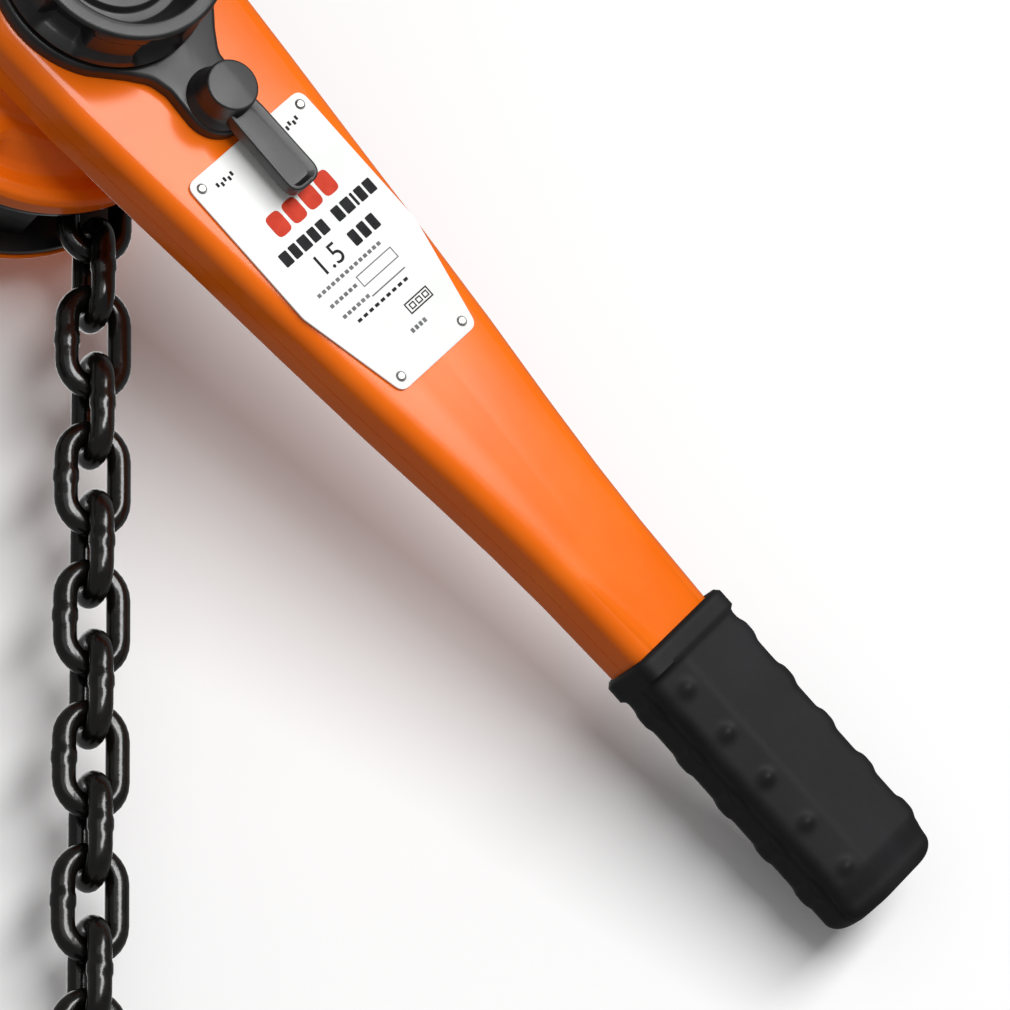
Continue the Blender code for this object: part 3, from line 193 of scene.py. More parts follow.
def rounded(points, radius, steps=4, closed=True):  # corners cut back and turned into arcs
    made = []
    count = len(points)
    for k, point in enumerate(points):
        here = Vector(point[:2])
        corner = point[2] if len(point) > 2 else radius
        if corner <= 0 or (not closed and k in (0, count - 1)):
            made.append(tuple(here))
            continue
        before, after = Vector(points[k - 1][:2]), Vector(points[(k + 1) % count][:2])
        back, on = before - here, after - here
        bend = math.pi - back.angle(on, math.pi)
        if bend < 0.02:
            made.append(tuple(here))
            continue
        reach = min(corner * math.tan(bend / 2), back.length * 0.48, on.length * 0.48)
        start, end = here + back.normalized() * reach, here + on.normalized() * reach
        for s in range(steps + 1):
            t = s / steps
            made.append(tuple(start * (1 - t) ** 2 + here * 2 * t * (1 - t) + end * t * t))
    return made


def smoothStep(low, high, value):
    t = min(1.0, max(0.0, (value - low) / (high - low)))
    return t * t * (3 - 2 * t)


def ringOf(radius, count, centre=(0.0, 0.0), turn=0.0):
    turns = [turn + math.tau * k / count for k in range(count)]
    return [(centre[0] + radius * math.cos(t), centre[1] + radius * math.sin(t)) for t in turns]


def pushOut(shape, outline, y0, y1):  # outline in X and Z, filled and pushed along Y
    face = shape.faces.new([shape.verts.new((x, y0, z)) for x, z in outline])
    pushed = bmesh.ops.extrude_face_region(shape, geom=[face])["geom"]
    moved = [g for g in pushed if isinstance(g, bmesh.types.BMVert)]
    bmesh.ops.translate(shape, verts=moved, vec=(0, y1 - y0, 0))
    return [g for g in pushed if isinstance(g, bmesh.types.BMFace)]


def soften(shape, offset, segments=3, over=0.55, only=None):
    edges = []
    for edge in shape.edges:
        if len(edge.link_faces) == 2 and edge.calc_face_angle(0) > over and (only is None or only(edge)):
            edges.append(edge)
    bmesh.ops.bevel(
        shape, geom=edges, offset=offset, offset_type="OFFSET", segments=segments, profile=0.5,
        affect="EDGES", clamp_overlap=True, material=-1,
    )


def spinProfile(shape, profile, centre, steps=96, closed=True):  # profile of (radius, y) turned about Y
    line = [shape.verts.new((centre[0] + r, y, centre[1])) for r, y in profile]
    edges = [shape.edges.new(pair) for pair in zip(line, line[1:])]
    if closed:
        edges.append(shape.edges.new((line[-1], line[0])))
    bmesh.ops.spin(
        shape, geom=line + edges, cent=(centre[0], 0, centre[1]), axis=(0, 1, 0), dvec=(0, 0, 0),
        angle=math.tau, steps=steps, use_merge=True, use_duplicate=False,
    )
    bmesh.ops.remove_doubles(shape, verts=shape.verts, dist=0.0005)


def addTo(shape, made):  # one shape takes in another, which is then let go
    mesh = bpy.data.meshes.new("added")
    made.to_mesh(mesh)
    made.free()
    shape.from_mesh(mesh)
    bpy.data.meshes.remove(mesh)


def barLine(radius, low, high, edge, steps=4):  # half the outline of a plain round bar
    corners = [(0.0, low), (radius, low, edge), (radius, high, edge), (0.0, high)]
    return rounded(corners, edge, steps, closed=False)


def spinAboutZ(shape, profile, steps=64):  # solid profile of (radius, z), open at the axis
    line = [shape.verts.new((r, 0, z)) for r, z in profile]
    edges = [shape.edges.new(pair) for pair in zip(line, line[1:])]
    bmesh.ops.spin(
        shape, geom=line + edges, cent=(0, 0, 0), axis=(0, 0, 1), dvec=(0, 0, 0),
        angle=math.tau, steps=steps, use_merge=True, use_duplicate=False,
    )
    bmesh.ops.remove_doubles(shape, verts=shape.verts, dist=0.0005)


def sweep(shape, stations, sides):  # each station: centre, way, side, half across, half deep
    def placed(station):
        centre, way, side, half, deep = station
        deepWay = way.cross(side)
        turn = Matrix((side * half, deepWay * deep, way)).transposed().to_4x4()
        return Matrix.Translation(centre) @ turn

    ring = bmesh.ops.create_circle(
        shape, cap_ends=False, segments=sides, radius=1.0, matrix=placed(stations[0])
    )["verts"]
    edges = list({edge for vert in ring for edge in vert.link_edges})
    first = list(edges)
    last = placed(stations[0])
    for station in stations[1:]:
        grown = bmesh.ops.extrude_edge_only(shape, edges=edges)["geom"]
        verts = [g for g in grown if isinstance(g, bmesh.types.BMVert)]
        edges = [g for g in grown if isinstance(g, bmesh.types.BMEdge)]
        now = placed(station)
        bmesh.ops.transform(shape, verts=verts, matrix=now @ last.inverted())
        last = now
    bmesh.ops.edgeloop_fill(shape, edges=first)
    bmesh.ops.edgeloop_fill(shape, edges=edges)


def shade(mesh, angle):  # smooth, but for edges sharper than this many degrees
    mesh.shade_smooth()
    mesh.set_sharp_from_angle(angle=math.radians(angle))


def finishPiece(name, shape, look, body, replaced=(), smooth=38, normals=True):
    bmesh.ops.remove_doubles(shape, verts=shape.verts, dist=0.0005)
    if normals:
        bmesh.ops.recalc_face_normals(shape, faces=shape.faces)
    bmesh.ops.scale(shape, vec=(mm, mm, mm), verts=shape.verts)
    mesh = bpy.data.meshes.new(name)
    shape.to_mesh(mesh)
    shape.free()
    shade(mesh, smooth)
    mesh.materials.append(finishes[look])
    piece = bpy.data.objects.new(name, mesh)
    bpy.context.scene.collection.objects.link(piece)
    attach(piece, body)
    if replaced:
        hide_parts(*replaced)
    return piece


def cutAway(piece, cutter):  # cutter is a bmesh in millimetres
    bmesh.ops.recalc_face_normals(cutter, faces=cutter.faces)
    bmesh.ops.scale(cutter, vec=(mm, mm, mm), verts=cutter.verts)
    mesh = bpy.data.meshes.new("cutter")
    cutter.to_mesh(mesh)
    cutter.free()
    tool = bpy.data.objects.new("cutter", mesh)
    bpy.context.scene.collection.objects.link(tool)
    cutting = piece.modifiers.new("cut", "BOOLEAN")
    cutting.operation = "DIFFERENCE"
    cutting.solver = "EXACT"
    cutting.object = tool
    graph = bpy.context.evaluated_depsgraph_get()
    result = bpy.data.meshes.new_from_object(piece.evaluated_get(graph))
    piece.modifiers.clear()
    piece.data = result
    bpy.data.objects.remove(tool)


def roundCutter(centre, radius, y0, y1, count=48):
    cutter = bmesh.new()
    pushOut(cutter, ringOf(radius, count, centre), y0, y1)
    return cutter


# Chain

chain = {
    "pitch": 24.0,
    "wire": 8.0,
    "insideWidth": 10.4,
    "insideLength": 24.3,
    "sides": 18,
    "bendSteps": 14,
    "legSteps": 10,
    "weldSwell": 1.10,
    "weldHalf": 1.5,
}


def addLink(shape, place):  # one welded link, long along its own Z and flat in its own XZ
    bend = (chain["insideWidth"] + chain["wire"]) / 2
    straight = (chain["insideLength"] - chain["insideWidth"]) / 2
    link = bmesh.new()
    turn = Matrix.Translation((bend, 0, -straight))
    ring = bmesh.ops.create_circle(
        link, cap_ends=False, segments=chain["sides"], radius=chain["wire"] / 2, matrix=turn
    )["verts"]
    edges = list({edge for vert in ring for edge in vert.link_edges})
    for way, end in ((1, straight), (-1, -straight)):
        for k in range(chain["legSteps"]):
            grown = bmesh.ops.extrude_edge_only(link, edges=edges)["geom"]
            verts = [g for g in grown if isinstance(g, bmesh.types.BMVert)]
            edges = [g for g in grown if isinstance(g, bmesh.types.BMEdge)]
            bmesh.ops.translate(link, verts=verts, vec=(0, 0, way * 2 * straight / chain["legSteps"]))
        spun = bmesh.ops.spin(
            link, geom=edges, cent=(0, 0, end), axis=(0, 1, 0), dvec=(0, 0, 0), angle=-math.pi,
            steps=chain["bendSteps"], use_merge=False, use_duplicate=False,
        )["geom_last"]
        edges = [g for g in spun if isinstance(g, bmesh.types.BMEdge)]
    bmesh.ops.remove_doubles(link, verts=link.verts, dist=0.01)
    for vert in link.verts:  # the weld's swelling, half way down one leg
        if vert.co.x < 0 and abs(vert.co.z) < chain["weldHalf"]:
            middle = Vector((-bend, 0, vert.co.z))
            vert.co = middle + (vert.co - middle) * chain["weldSwell"]
    bmesh.ops.transform(link, matrix=place, verts=link.verts)
    addTo(shape, link)


def linkTurn(number):  # odd links stand across the even ones
    return Matrix.Rotation(math.pi / 2, 4, "Z") if number % 2 else Matrix.Identity(4)


def hangLinks(x, numbers):  # links of one strand, by their numbers
    shape = bmesh.new()
    for number in numbers:
        place = Matrix.Translation((x, 0, strandZero - chain["pitch"] * number))
        addLink(shape, place @ linkTurn(number))
    return shape


linkNumbers = sorted(int(name[-2:]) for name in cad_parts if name.startswith("load_link_"))
strandZero = firstLoose.z + chain["pitch"] * linkNumbers[0]  # where a link numbered 0 would be
for number in linkNumbers:
    node = f"load_link_{number:02d}"
    finishPiece(f"chainLink{number:02d}", hangLinks(0, [number]), "chainLacquer", node, [node], 60)
shape = hangLinks(0, range(1, linkNumbers[0]))
finishPiece("chainHead", shape, "chainLacquer", "load_strand", ["load_chain_head"], 60)
tailCount = round((boxOf("tail_chain")[1].z - boxOf("tail_chain")[0].z - chain["wire"]) / chain["pitch"])
shape = hangLinks(middleOf("tail_chain").x, range(1, tailCount + 1))
finishPiece("chainTail", shape, "chainLacquer", "tail_strand", ["tail_chain"], 60)
shape = bmesh.new()
pockets = 4
apothem = -shaft.x
for k in range(pockets + 1):
    turn = math.pi * k / pockets
    centre = Vector((shaft.x + apothem * math.cos(turn), 0, shaft.z + apothem * math.sin(turn)))
    addLink(shape, Matrix.Translation(centre) @ Matrix.Rotation(-turn, 4, "Y") @ linkTurn(k))
finishPiece("chainOnSheave", shape, "chainLacquer", "sheave", ["sheave_chain"], 60)

ringSize = {"radius": 15.5, "wire": 2.5}
shape = bmesh.new()
circle = bmesh.ops.create_circle(
    shape, cap_ends=False, segments=16, radius=ringSize["wire"],
    matrix=Matrix.Translation((tailRing.x + ringSize["radius"], 0, tailRing.z)),
)["verts"]
bmesh.ops.spin(
    shape, geom=circle + list({edge for vert in circle for edge in vert.link_edges}),
    cent=(tailRing.x, 0, tailRing.z), axis=(0, 1, 0), dvec=(0, 0, 0), angle=math.tau, steps=72,
    use_merge=True, use_duplicate=False,
)
finishPiece("tailRing", shape, "zincSteel", "tail_ring", ["tail_ring"], 60)
print("chain made")

# Covers and plates

body = {
    "radius": 61.0,
    "topRadius": 20.0,
    "plateInner": 16.0,
    "plateOuter": 20.0,
    "coverWall": 1.8,
    "lobeAngles": (-128.0, -8.0, 112.0),
    "lobeHalf": 24.0,
    "lobeReach": 12.5,
    "lobeInner": 41.0,
    "lobeCrest": 47.5,
    "lobeOuter": 53.5,
    "lobeFade": 13.0,
    "lobeDepth": 8.0,
    "lobeRise": 2.5,
    "flange": 61.8,
    "drumHalf": 26.8,
}


def plateOutline(inset=0.0, count=180):  # taut round the body's circle and the top pin's
    topWay = Vector((topPin.x - shaft.x, topPin.z - shaft.z))
    big, small = body["radius"] - inset, body["topRadius"] - inset
    tilt = math.acos((big - small) / topWay.length)
    middle = math.atan2(topWay.y, topWay.x)
    made = []
    for k in range(count + 1):
        t = middle + tilt + (math.tau - 2 * tilt) * k / count
        made.append((shaft.x + big * math.cos(t), shaft.z + big * math.sin(t)))
    for k in range(31):
        t = middle - tilt + 2 * tilt * k / 30
        made.append((topPin.x + small * math.cos(t), topPin.z + small * math.sin(t)))
    return made


plateHoles = [((topPin.x, topPin.z), 6.4), (shaftAt, 15.4)]
for name, node, y0, y1 in (
    ("frontSidePlate", "front_side_plate", -body["plateOuter"], -body["plateInner"]),
    ("rearSidePlate", "rear_side_plate", body["plateInner"], body["plateOuter"]),
):
    shape = bmesh.new()
    pushOut(shape, plateOutline(), y0, y1)
    soften(shape, 0.6, 2, 1.0)
    piece = finishPiece(name, shape, "blackPlate", "frame", [node], 50)
    for centre, radius in plateHoles:
        cutAway(piece, roundCutter(centre, radius, y0 - 2, y1 + 2))


def swellOf(angle):  # 1 at the middle of a lobe, falling smoothly to 0
    best = 0.0
    for lobe in body["lobeAngles"]:
        off = abs((angle - lobe + 180.0) % 360.0 - 180.0) / body["lobeHalf"]
        if off < 1:
            best = max(best, 0.5 + 0.5 * math.cos(math.pi * off))
    return smoothStep(0.0, 0.62, best)


coverFront = -body["plateOuter"] - 0.3
frontProfile = [  # radius, and height over the cover's foot
    (body["flange"], 0.0), (body["flange"], -6.0), (60.6, -8.4), (57.2, -9.6), (55.4, -9.0), (52.6, -8.6),
    (50.2, -10.6),
    (46.4, -16.6), (44.0, -18.8), (40.5, -20.2), (38.6, -27.0), (34.5, -28.6), (16.6, -28.6),
]
outerLine = rounded([(r, coverFront + y) for r, y in frontProfile], 2.4, 5, closed=False)
wall = body["coverWall"]
innerLine = [(max(r - wall, 16.6), min(y + wall, coverFront)) for r, y in frontProfile]
innerLine = rounded(innerLine, 2.0, 3, closed=False)
shape = bmesh.new()
spinProfile(shape, outerLine + innerLine[::-1], shaftAt, 240)
for vert in shape.verts:  # the pressed lobes that stand out from the drum
    way = Vector((vert.co.x - shaft.x, vert.co.z - shaft.z))
    depth = coverFront - vert.co.y
    if not body["lobeInner"] <= way.length <= body["lobeOuter"] or depth < body["lobeDepth"]:
        continue
    share = min(1.0, (depth - body["lobeDepth"]) / body["lobeRise"])
    swell = swellOf(math.degrees(math.atan2(way.y, way.x))) * share
    fade = 1 - abs(way.length - body["lobeCrest"]) / body["lobeFade"]
    scale = 1 + swell * body["lobeReach"] * fade / way.length
    vert.co.x, vert.co.z = shaft.x + way.x * scale, shaft.z + way.y * scale
finishPiece("frontCover", shape, "orangePaint", "frame", ["brake_cover"], 50)

rearBack = boxOf("gear_cover")[1].y
rearFront = body["plateOuter"] + 0.3
discGears = [middleOf("disc_gear_1"), middleOf("disc_gear_2")]


def longOutline(radius, count=72):
    ends = sorted((discGears[0].x, discGears[1].x))
    made = []
    for centre, start in ((ends[1], -math.pi / 2), (ends[0], math.pi / 2)):
        for k in range(count // 2 + 1):
            t = start + math.pi * k / (count // 2)
            made.append((centre + radius * math.cos(t), shaft.z + radius * math.sin(t)))
    return made


shape = bmesh.new()
pushOut(shape, ringOf(body["flange"], 200, shaftAt), rearFront, rearFront + wall)
soften(shape, 0.7, 3, 1.0)
piece = finishPiece("rearCoverFlange", shape, "orangePaint", "frame", ["gear_cover"], 50)
shape = bmesh.new()
pushOut(shape, longOutline(body["drumHalf"]), rearFront + 1.0, rearBack)
soften(shape, 4.0, 6, 1.0, lambda edge: min(v.co.y for v in edge.verts) > rearBack - 0.1)
finishPiece("rearCoverDrum", shape, "orangePaint", "frame", (), 50)
print("body made")


def nutShape(centre, size, y0, y1):
    made = bmesh.new()
    pushOut(made, ringOf(size, 6, centre, 0.2), y0, y1)
    soften(made, 0.35, 2, 0.5)
    return made


bolt = {
    "stud": 3.8,
    "root": 3.35,
    "sleeve": 5.0,
    "sleeveEnd": 15.7,
    "threadFrom": 22.0,
    "threadPitch": 1.25,
    "nut": 6.9,
    "nutHole": 4.1,
}
for number in (1, 2, 3):
    node = f"gear_cover_nut_{number}"
    low, high = boxOf(node)
    centre = middleOf(f"stay_bolt_{number}")
    shape = nutShape((centre.x, centre.z), bolt["nut"], low.y, high.y)
    piece = finishPiece(f"coverNut{number}", shape, "zincSteel", "frame", [node], 30)
    cutAway(piece, roundCutter((centre.x, centre.z), bolt["nutHole"], low.y - 1, high.y + 1))
    low, high = boxOf(f"stay_bolt_{number}")
    shape = bmesh.new()
    stud, sleeve, room = bolt["stud"], bolt["sleeve"], bolt["sleeveEnd"]
    thread = [(0.0, low.y), (stud - 0.6, low.y), (stud, low.y + 0.6), (stud, -room), (sleeve, -room)]
    thread += [(sleeve, room), (stud, room)]
    turnAt = bolt["threadFrom"]
    while turnAt < high.y - 1.2:  # thread crests
        thread += [(stud, turnAt), (bolt["root"], turnAt + 0.5), (stud, turnAt + 1.0)]
        turnAt += bolt["threadPitch"]
    thread += [(stud, high.y - 0.8), (3.1, high.y), (0.0, high.y)]
    spinProfile(shape, thread, (centre.x, centre.z), 40, closed=False)
    finishPiece(f"stayBolt{number}", shape, "zincSteel", "frame", [f"stay_bolt_{number}"], 40)

low, high = boxOf("top_pin")
shape = bmesh.new()
pinSeat = -body["plateOuter"] - 0.3  # the pin's head rests on the front plate
pinLine = [
    (0.0, low.y), (8.5, low.y, 0.8), (8.5, pinSeat, 0.3), (6.0, pinSeat, 0.0), (6.0, high.y, 1.0),
    (0.0, high.y),
]
spinProfile(shape, rounded(pinLine, 0.4, 4, closed=False), (topPin.x, topPin.z), 64, closed=False)
finishPiece("topPin", shape, "zincSteel", "frame", ["top_pin"], 50)

# Lever

lever = {
    "end": 376.0,
    "back": -52.0,
    "split": -62.0,
    "front": -76.0,
    "wall": 1.8,
    "bend": 7.0,
    "seam": 0.15,
    "hubHole": 13.0,
    "rearHubHole": 16.6,
    "selectorAt": 57.0,
    "selectorHole": 5.4,
    "rearBend": 2.6,
    "sharp": 32,
}

leverHalves = (  # distance from the shaft and half the width there
    (0.0, 42.0), (30.0, 41.0), (60.0, 38.4), (96.0, 35.0), (132.0, 31.8), (169.0, 28.1), (200.0, 24.4),
    (227.0, 21.6), (250.0, 19.9), (283.6, 18.5), (284.5, 14.4), (376.0, 13.8),
)


def leverOutline(inset=0.0):
    made = []
    head = leverHalves[0][1] - inset
    for k in range(1, 40):
        t = math.pi / 2 + math.pi * k / 40
        made.append(onLever(head * math.cos(t), head * math.sin(t)))
    for u, half in leverHalves:
        made.append(onLever(min(u, lever["end"] - inset), inset - half))
    for u, half in leverHalves[::-1]:
        made.append(onLever(min(u, lever["end"] - inset), half - inset))
    return made


def panOf(rimY, faceY, bend, steps, wall):
    made = bmesh.new()
    way = math.copysign(1.0, faceY - rimY)
    levels = [(0.0, rimY), (0.0, faceY - way * bend)]
    for k in range(1, steps + 1):
        t = math.pi / 2 * k / steps
        levels.append((bend * (1 - math.cos(t)), faceY - way * bend * (1 - math.sin(t))))
    inner = []
    for inset, y in levels:
        inner.append((inset + wall, y - way * wall if y != rimY else rimY))
    loops = []
    for inset, y in levels[::-1] + inner:
        ring = [made.verts.new((x, y, z)) for x, z in leverOutline(inset)]
        loops.append([made.edges.new((ring[k - 1], ring[k])) for k in range(len(ring))])
    for before, after in zip(loops, loops[1:]):
        bmesh.ops.bridge_loops(made, edges=before + after)
    bmesh.ops.edgeloop_fill(made, edges=loops[0])
    bmesh.ops.edgeloop_fill(made, edges=loops[-1])
    return made


def leverShell(name, node, rimY, faceY, bend, steps, holes):
    pan = panOf(rimY, faceY, bend, steps, lever["wall"])
    piece = finishPiece(name, pan, "orangePaint", "lever", [node], lever["sharp"])
    for centre, radius in holes:
        cutAway(piece, roundCutter(centre, radius, faceY - 3, faceY + 3))
    shade(piece.data, lever["sharp"])
    return piece


selector = onLever(lever["selectorAt"], 0)
leverShell(
    "leverFront", "lever_front_shell", lever["split"] - lever["seam"], lever["front"], lever["bend"], 9,
    [(shaftAt, lever["hubHole"]), (selector, lever["selectorHole"])],
)
leverShell(
    "leverBack", "lever_rear_shell", lever["split"] + lever["seam"], lever["back"], lever["rearBend"], 5,
    [(shaftAt, lever["rearHubHole"])],
)

grip = {
    "start": 282.5,
    "length": 112.0,
    "half": 20.0,
    "front": -79.2,
    "back": -48.6,
    "collar": 8.0,
    "collarSwell": 1.4,
    "lip": 1.1,
    "ridge": -7.0,
    "slopeFoot": 5.8,
    "bumps": 5,
    "bumpStart": 17.0,
    "bumpStep": 19.4,
    "bumpHalf": 3.9,
    "bumpRise": 1.25,
    "nubAt": -13.0,
    "nubRise": 1.7,
    "nubHalf": 2.3,
    "nubsBefore": -70.0,
    "narrowing": 0.9,
    "seamAt": -66.5,
    "seamHalf": 0.45,
    "skirt": 0.9,
    "endFall": 2.6,
    "endFallLength": 15.0,
    "endRound": 6.0,
    "rows": 190,
    "points": 132,
    "socketFront": -76.1,
    "socketBack": -51.6,
}


def bumpOf(v, half, power):  # 1 on a bump and 0 between two
    best = 0.0
    for k in range(grip["bumps"]):
        off = abs(v - grip["bumpStart"] - k * grip["bumpStep"]) / half
        best = max(best, math.exp(-(off ** power)))
    return best


def evenly(outline, count):  # the same closed line in equal steps, from its first point
    closed = [Vector(p) for p in outline] + [Vector(outline[0])]
    steps = [(b - a).length for a, b in zip(closed, closed[1:])]
    made, k, done = [], 0, 0.0
    for i in range(count):
        goal = sum(steps) * i / count
        while done + steps[k] < goal:
            done += steps[k]
            k += 1
        made.append(tuple(closed[k].lerp(closed[k + 1], (goal - done) / steps[k])))
    return made


def gripRing(v):
    collar = 1 - smoothStep(grip["collar"] - 0.5, grip["collar"] + 1.0, v)
    lip = grip["lip"] * (1 - smoothStep(0.0, 1.6, v))
    close = max(0.0, v - (grip["length"] - grip["endRound"])) / grip["endRound"]
    tail = grip["endRound"] * (1 - math.sqrt(max(0.0, 1 - close * close)))
    fallFrom = grip["length"] - grip["endFallLength"]
    endSlope = grip["endFall"] * smoothStep(fallFrom, fallFrom + 10.0, v)
    bump = grip["bumpRise"] * bumpOf(v, grip["bumpHalf"], 4) * (1 - collar)
    left = grip["half"] + grip["collarSwell"] * collar - lip - tail
    right = left + bump
    thinner = grip["narrowing"] * (1 - collar)
    front = grip["front"] + thinner + lip + endSlope + tail * 0.8
    back = grip["back"] - thinner - lip - tail * 0.8
    slope = 0.7 + (grip["slopeFoot"] - 0.7) * (1 - collar)
    outline = rounded(
        [(-left, front + slope, 5.5), (grip["ridge"], front, 7.0), (right, front, 4.5), (right, back, 7.0),
         (-left, back, 7.0)], 4.0, 10,
    )
    made = []
    for n, y in evenly(outline, grip["points"]):
        seamLine = math.exp(-(((y - grip["seamAt"]) / grip["seamHalf"]) ** 2)) * (1 - collar)
        if n < 4 - left:  # a wavy skirt behind a fine parting line
            skirt = smoothStep(-66.0, -64.5, y) * (1 - smoothStep(-54.0, -51.0, y))
            n -= (0.2 + bump * grip["skirt"]) * skirt * (1 - collar) * (1 - close)
            n += grip["seamHalf"] * seamLine
        spread = math.exp(-(((n - grip["nubAt"]) / grip["nubHalf"]) ** 2))
        if y < grip["nubsBefore"]:
            y -= grip["nubRise"] * bumpOf(v, grip["nubHalf"], 2) * spread * (1 - collar)
        made.append((n, y))
    return made


shape = bmesh.new()
loops = []
for k in range(grip["rows"] + 1):
    v = (grip["length"] - 0.04) * math.sin(math.pi / 2 * (k / grip["rows"])) ** 0.9
    ring = []
    for n, y in gripRing(v):
        x, z = onLever(grip["start"] + v, n)
        ring.append(shape.verts.new((x, y, z)))
    loops.append([shape.edges.new((ring[i - 1], ring[i])) for i in range(len(ring))])
for before, after in zip(loops, loops[1:]):
    bmesh.ops.bridge_loops(shape, edges=before + after)
bmesh.ops.edgeloop_fill(shape, edges=loops[0])
bmesh.ops.edgeloop_fill(shape, edges=loops[-1])
piece = finishPiece("leverGrip", shape, "gripRubber", "lever", ["lever_grip"], 60)
for start, end, halfStart, halfEnd, corner in (  # the mouth round the lever, then the room for its hidden end
    (grip["start"] - 3.0, grip["start"] + 2.4, 19.2, 19.0, 0.0),
    (grip["start"] - 4.0, lever["end"] + 0.5, 14.8, 14.3, 7.4),
):
    socket = bmesh.new()
    mouth = ((start, -halfStart), (end, -halfEnd), (end, halfEnd), (start, halfStart))
    pushOut(socket, [onLever(u, n) for u, n in mouth], grip["socketFront"], grip["socketBack"])
    if corner:
        wayLine = Vector((along.x, 0, along.y))
        soften(
            socket, corner, 8, 1.0,
            lambda edge: max(v.co.y for v in edge.verts) < grip["socketFront"] + 0.1
            and abs((edge.verts[0].co - edge.verts[1].co).normalized().dot(wayLine)) > 0.9,
        )
    cutAway(piece, socket)
shade(piece.data, 60)
print("lever and grip made")

# The name plate, with its rivets and its plain marks

plate = {
    "outline": ((71.2, -28.4, 4), (128.0, -28.6, 9), (166.8, -19.0, 4), (166.8, 19.0, 4), (128.0, 28.6, 9),
                (71.2, 28.4, 4)),
    "back": -76.3,
    "thick": 0.9,
    "rivets": ((75.2, -24.6), (75.2, 24.6), (162.6, -15.6), (162.6, 15.6)),
}
plateFace = plate["back"] - plate["thick"]
shape = bmesh.new()
corners = rounded([(u, n, c) for u, n, c in plate["outline"]], 4, 6)
pushOut(shape, [onLever(u, n) for u, n in corners], plate["back"], plateFace)
soften(shape, 0.25, 2, 1.0)
finishPiece("namePlate", shape, "labelWhite", "lever", ["name_plate"], 40)

shape = bmesh.new()
for u, n in plate["rivets"]:
    line = rounded([(0.0, -0.75), (1.3, -0.75, 0.6), (1.9, 0.0, 0.0), (0.0, 0.0)], 0.4, 4, closed=False)
    spinProfile(shape, [(r, plateFace + y) for r, y in line], onLever(u, n), 32, closed=False)
finishPiece("plateRivets", shape, "zincSteel", "lever", (), 40)

printRise = 0.06


def printBar(shape, u0, u1, n0, n1, corner=0.2):
    outline = rounded([(u0, n0), (u1, n0), (u1, n1), (u0, n1)], corner, 3)
    pushOut(shape, [onLever(u, n) for u, n in outline], plateFace - 0.005, plateFace - printRise)


def printFrame(shape, u0, u1, n0, n1, line):
    printBar(shape, u0, u0 + line, n0, n1, 0.05)
    printBar(shape, u1 - line, u1, n0, n1, 0.05)
    printBar(shape, u0 + line, u1 - line, n0, n0 + line, 0.05)
    printBar(shape, u0 + line, u1 - line, n1 - line, n1, 0.05)


shape = bmesh.new()
for k in range(4):  # four plain red blocks in a row
    n = -15.2 + 7.9 * k
    printBar(shape, 95.6, 104.0, n, n + 6.6, 2.2)
finishPiece("plateRedMarks", shape, "printRed", "lever", (), 40)

shape = bmesh.new()
widths = (3.4, 3.0, 3.6, 3.0, 3.2, 0, 3.2, 3.6, 1.0, 3.0, 3.2)
n = -20.4
for width in widths:  # a row of plain blocks, with a gap like one between words
    if width:
        printBar(shape, 107.4, 112.4, n, n + 1.12 * width, 0.5)
    n += (1.12 * width or 2.4) + 0.95
for k in range(5):
    printBar(shape, 76.8 + 0.8 * (k % 2), 78.4 + 0.8 * (k % 2), -19.8 + 1.7 * k, -18.8 + 1.7 * k, 0.2)
    printBar(shape, 76.8 + 0.8 * (k % 2), 78.4 + 0.8 * (k % 2), 12.6 + 1.7 * k, 13.6 + 1.7 * k, 0.2)
for k in range(3):
    printBar(shape, 116.6, 122.0, 4.6 + 4.6 * k, 8.0 + 4.6 * k, 0.6)
printFrame(shape, 146.0, 150.2, 3.0, 14.2, 0.5)
for k in range(3):
    printFrame(shape, 147.0, 149.2, 4.4 + 3.2 * k, 6.8 + 3.2 * k, 0.45)
for k in range(9):
    printBar(shape, 139.8, 140.9, -14.0 + 2.9 * k, -12.2 + 2.9 * k, 0.2)
finishPiece("plateBlackMarks", shape, "printBlack", "lever", (), 40)

shape = bmesh.new()
for row, u in enumerate((125.2, 130.4, 135.6)):
    for k in range(6 if row else 14):
        printBar(shape, u, u + 1.3, -19.2 + 2.3 * k + row, -17.7 + 2.3 * k + row, 0.2)
printFrame(shape, 129.0, 133.4, -3.6, 14.0, 0.4)
printBar(shape, 137.0, 137.5, -3.6, 13.0, 0.05)
for k in range(4):
    printBar(shape, 153.4, 155.0, -1.4 + 2.0 * k, -0.1 + 2.0 * k, 0.2)
finishPiece("plateGreyMarks", shape, "printGrey", "lever", (), 40)

figure = bpy.data.curves.new("capacityFigure", "FONT")
figure.body = "1.5"
figure.size = 10.4 * mm
figure.extrude = 0.03 * mm
figure.resolution_u = 6
text = bpy.data.objects.new("capacityFigure", figure)
bpy.context.scene.collection.objects.link(text)
graph = bpy.context.evaluated_depsgraph_get()
mesh = bpy.data.meshes.new_from_object(text.evaluated_get(graph))
bpy.data.objects.remove(text)
shape = bmesh.new()
shape.from_mesh(mesh)
bmesh.ops.scale(shape, vec=(1 / mm, 1 / mm, 1 / mm), verts=shape.verts)
spot = onLever(122.4, -13.0)
# The figure's own X runs up across the lever and its Y back towards the shaft
readWay = Matrix(((across.x, -along.x, 0), (0, 0, -1), (across.y, -along.y, 0))).to_4x4()
bmesh.ops.transform(
    shape, verts=shape.verts, matrix=Matrix.Translation((spot[0], plateFace - 0.035, spot[1])) @ readWay,
)
finishPiece("plateCapacityFigure", shape, "printBlack", "lever", (), 40)
print("name plate made")

# Selector housing and the selector itself

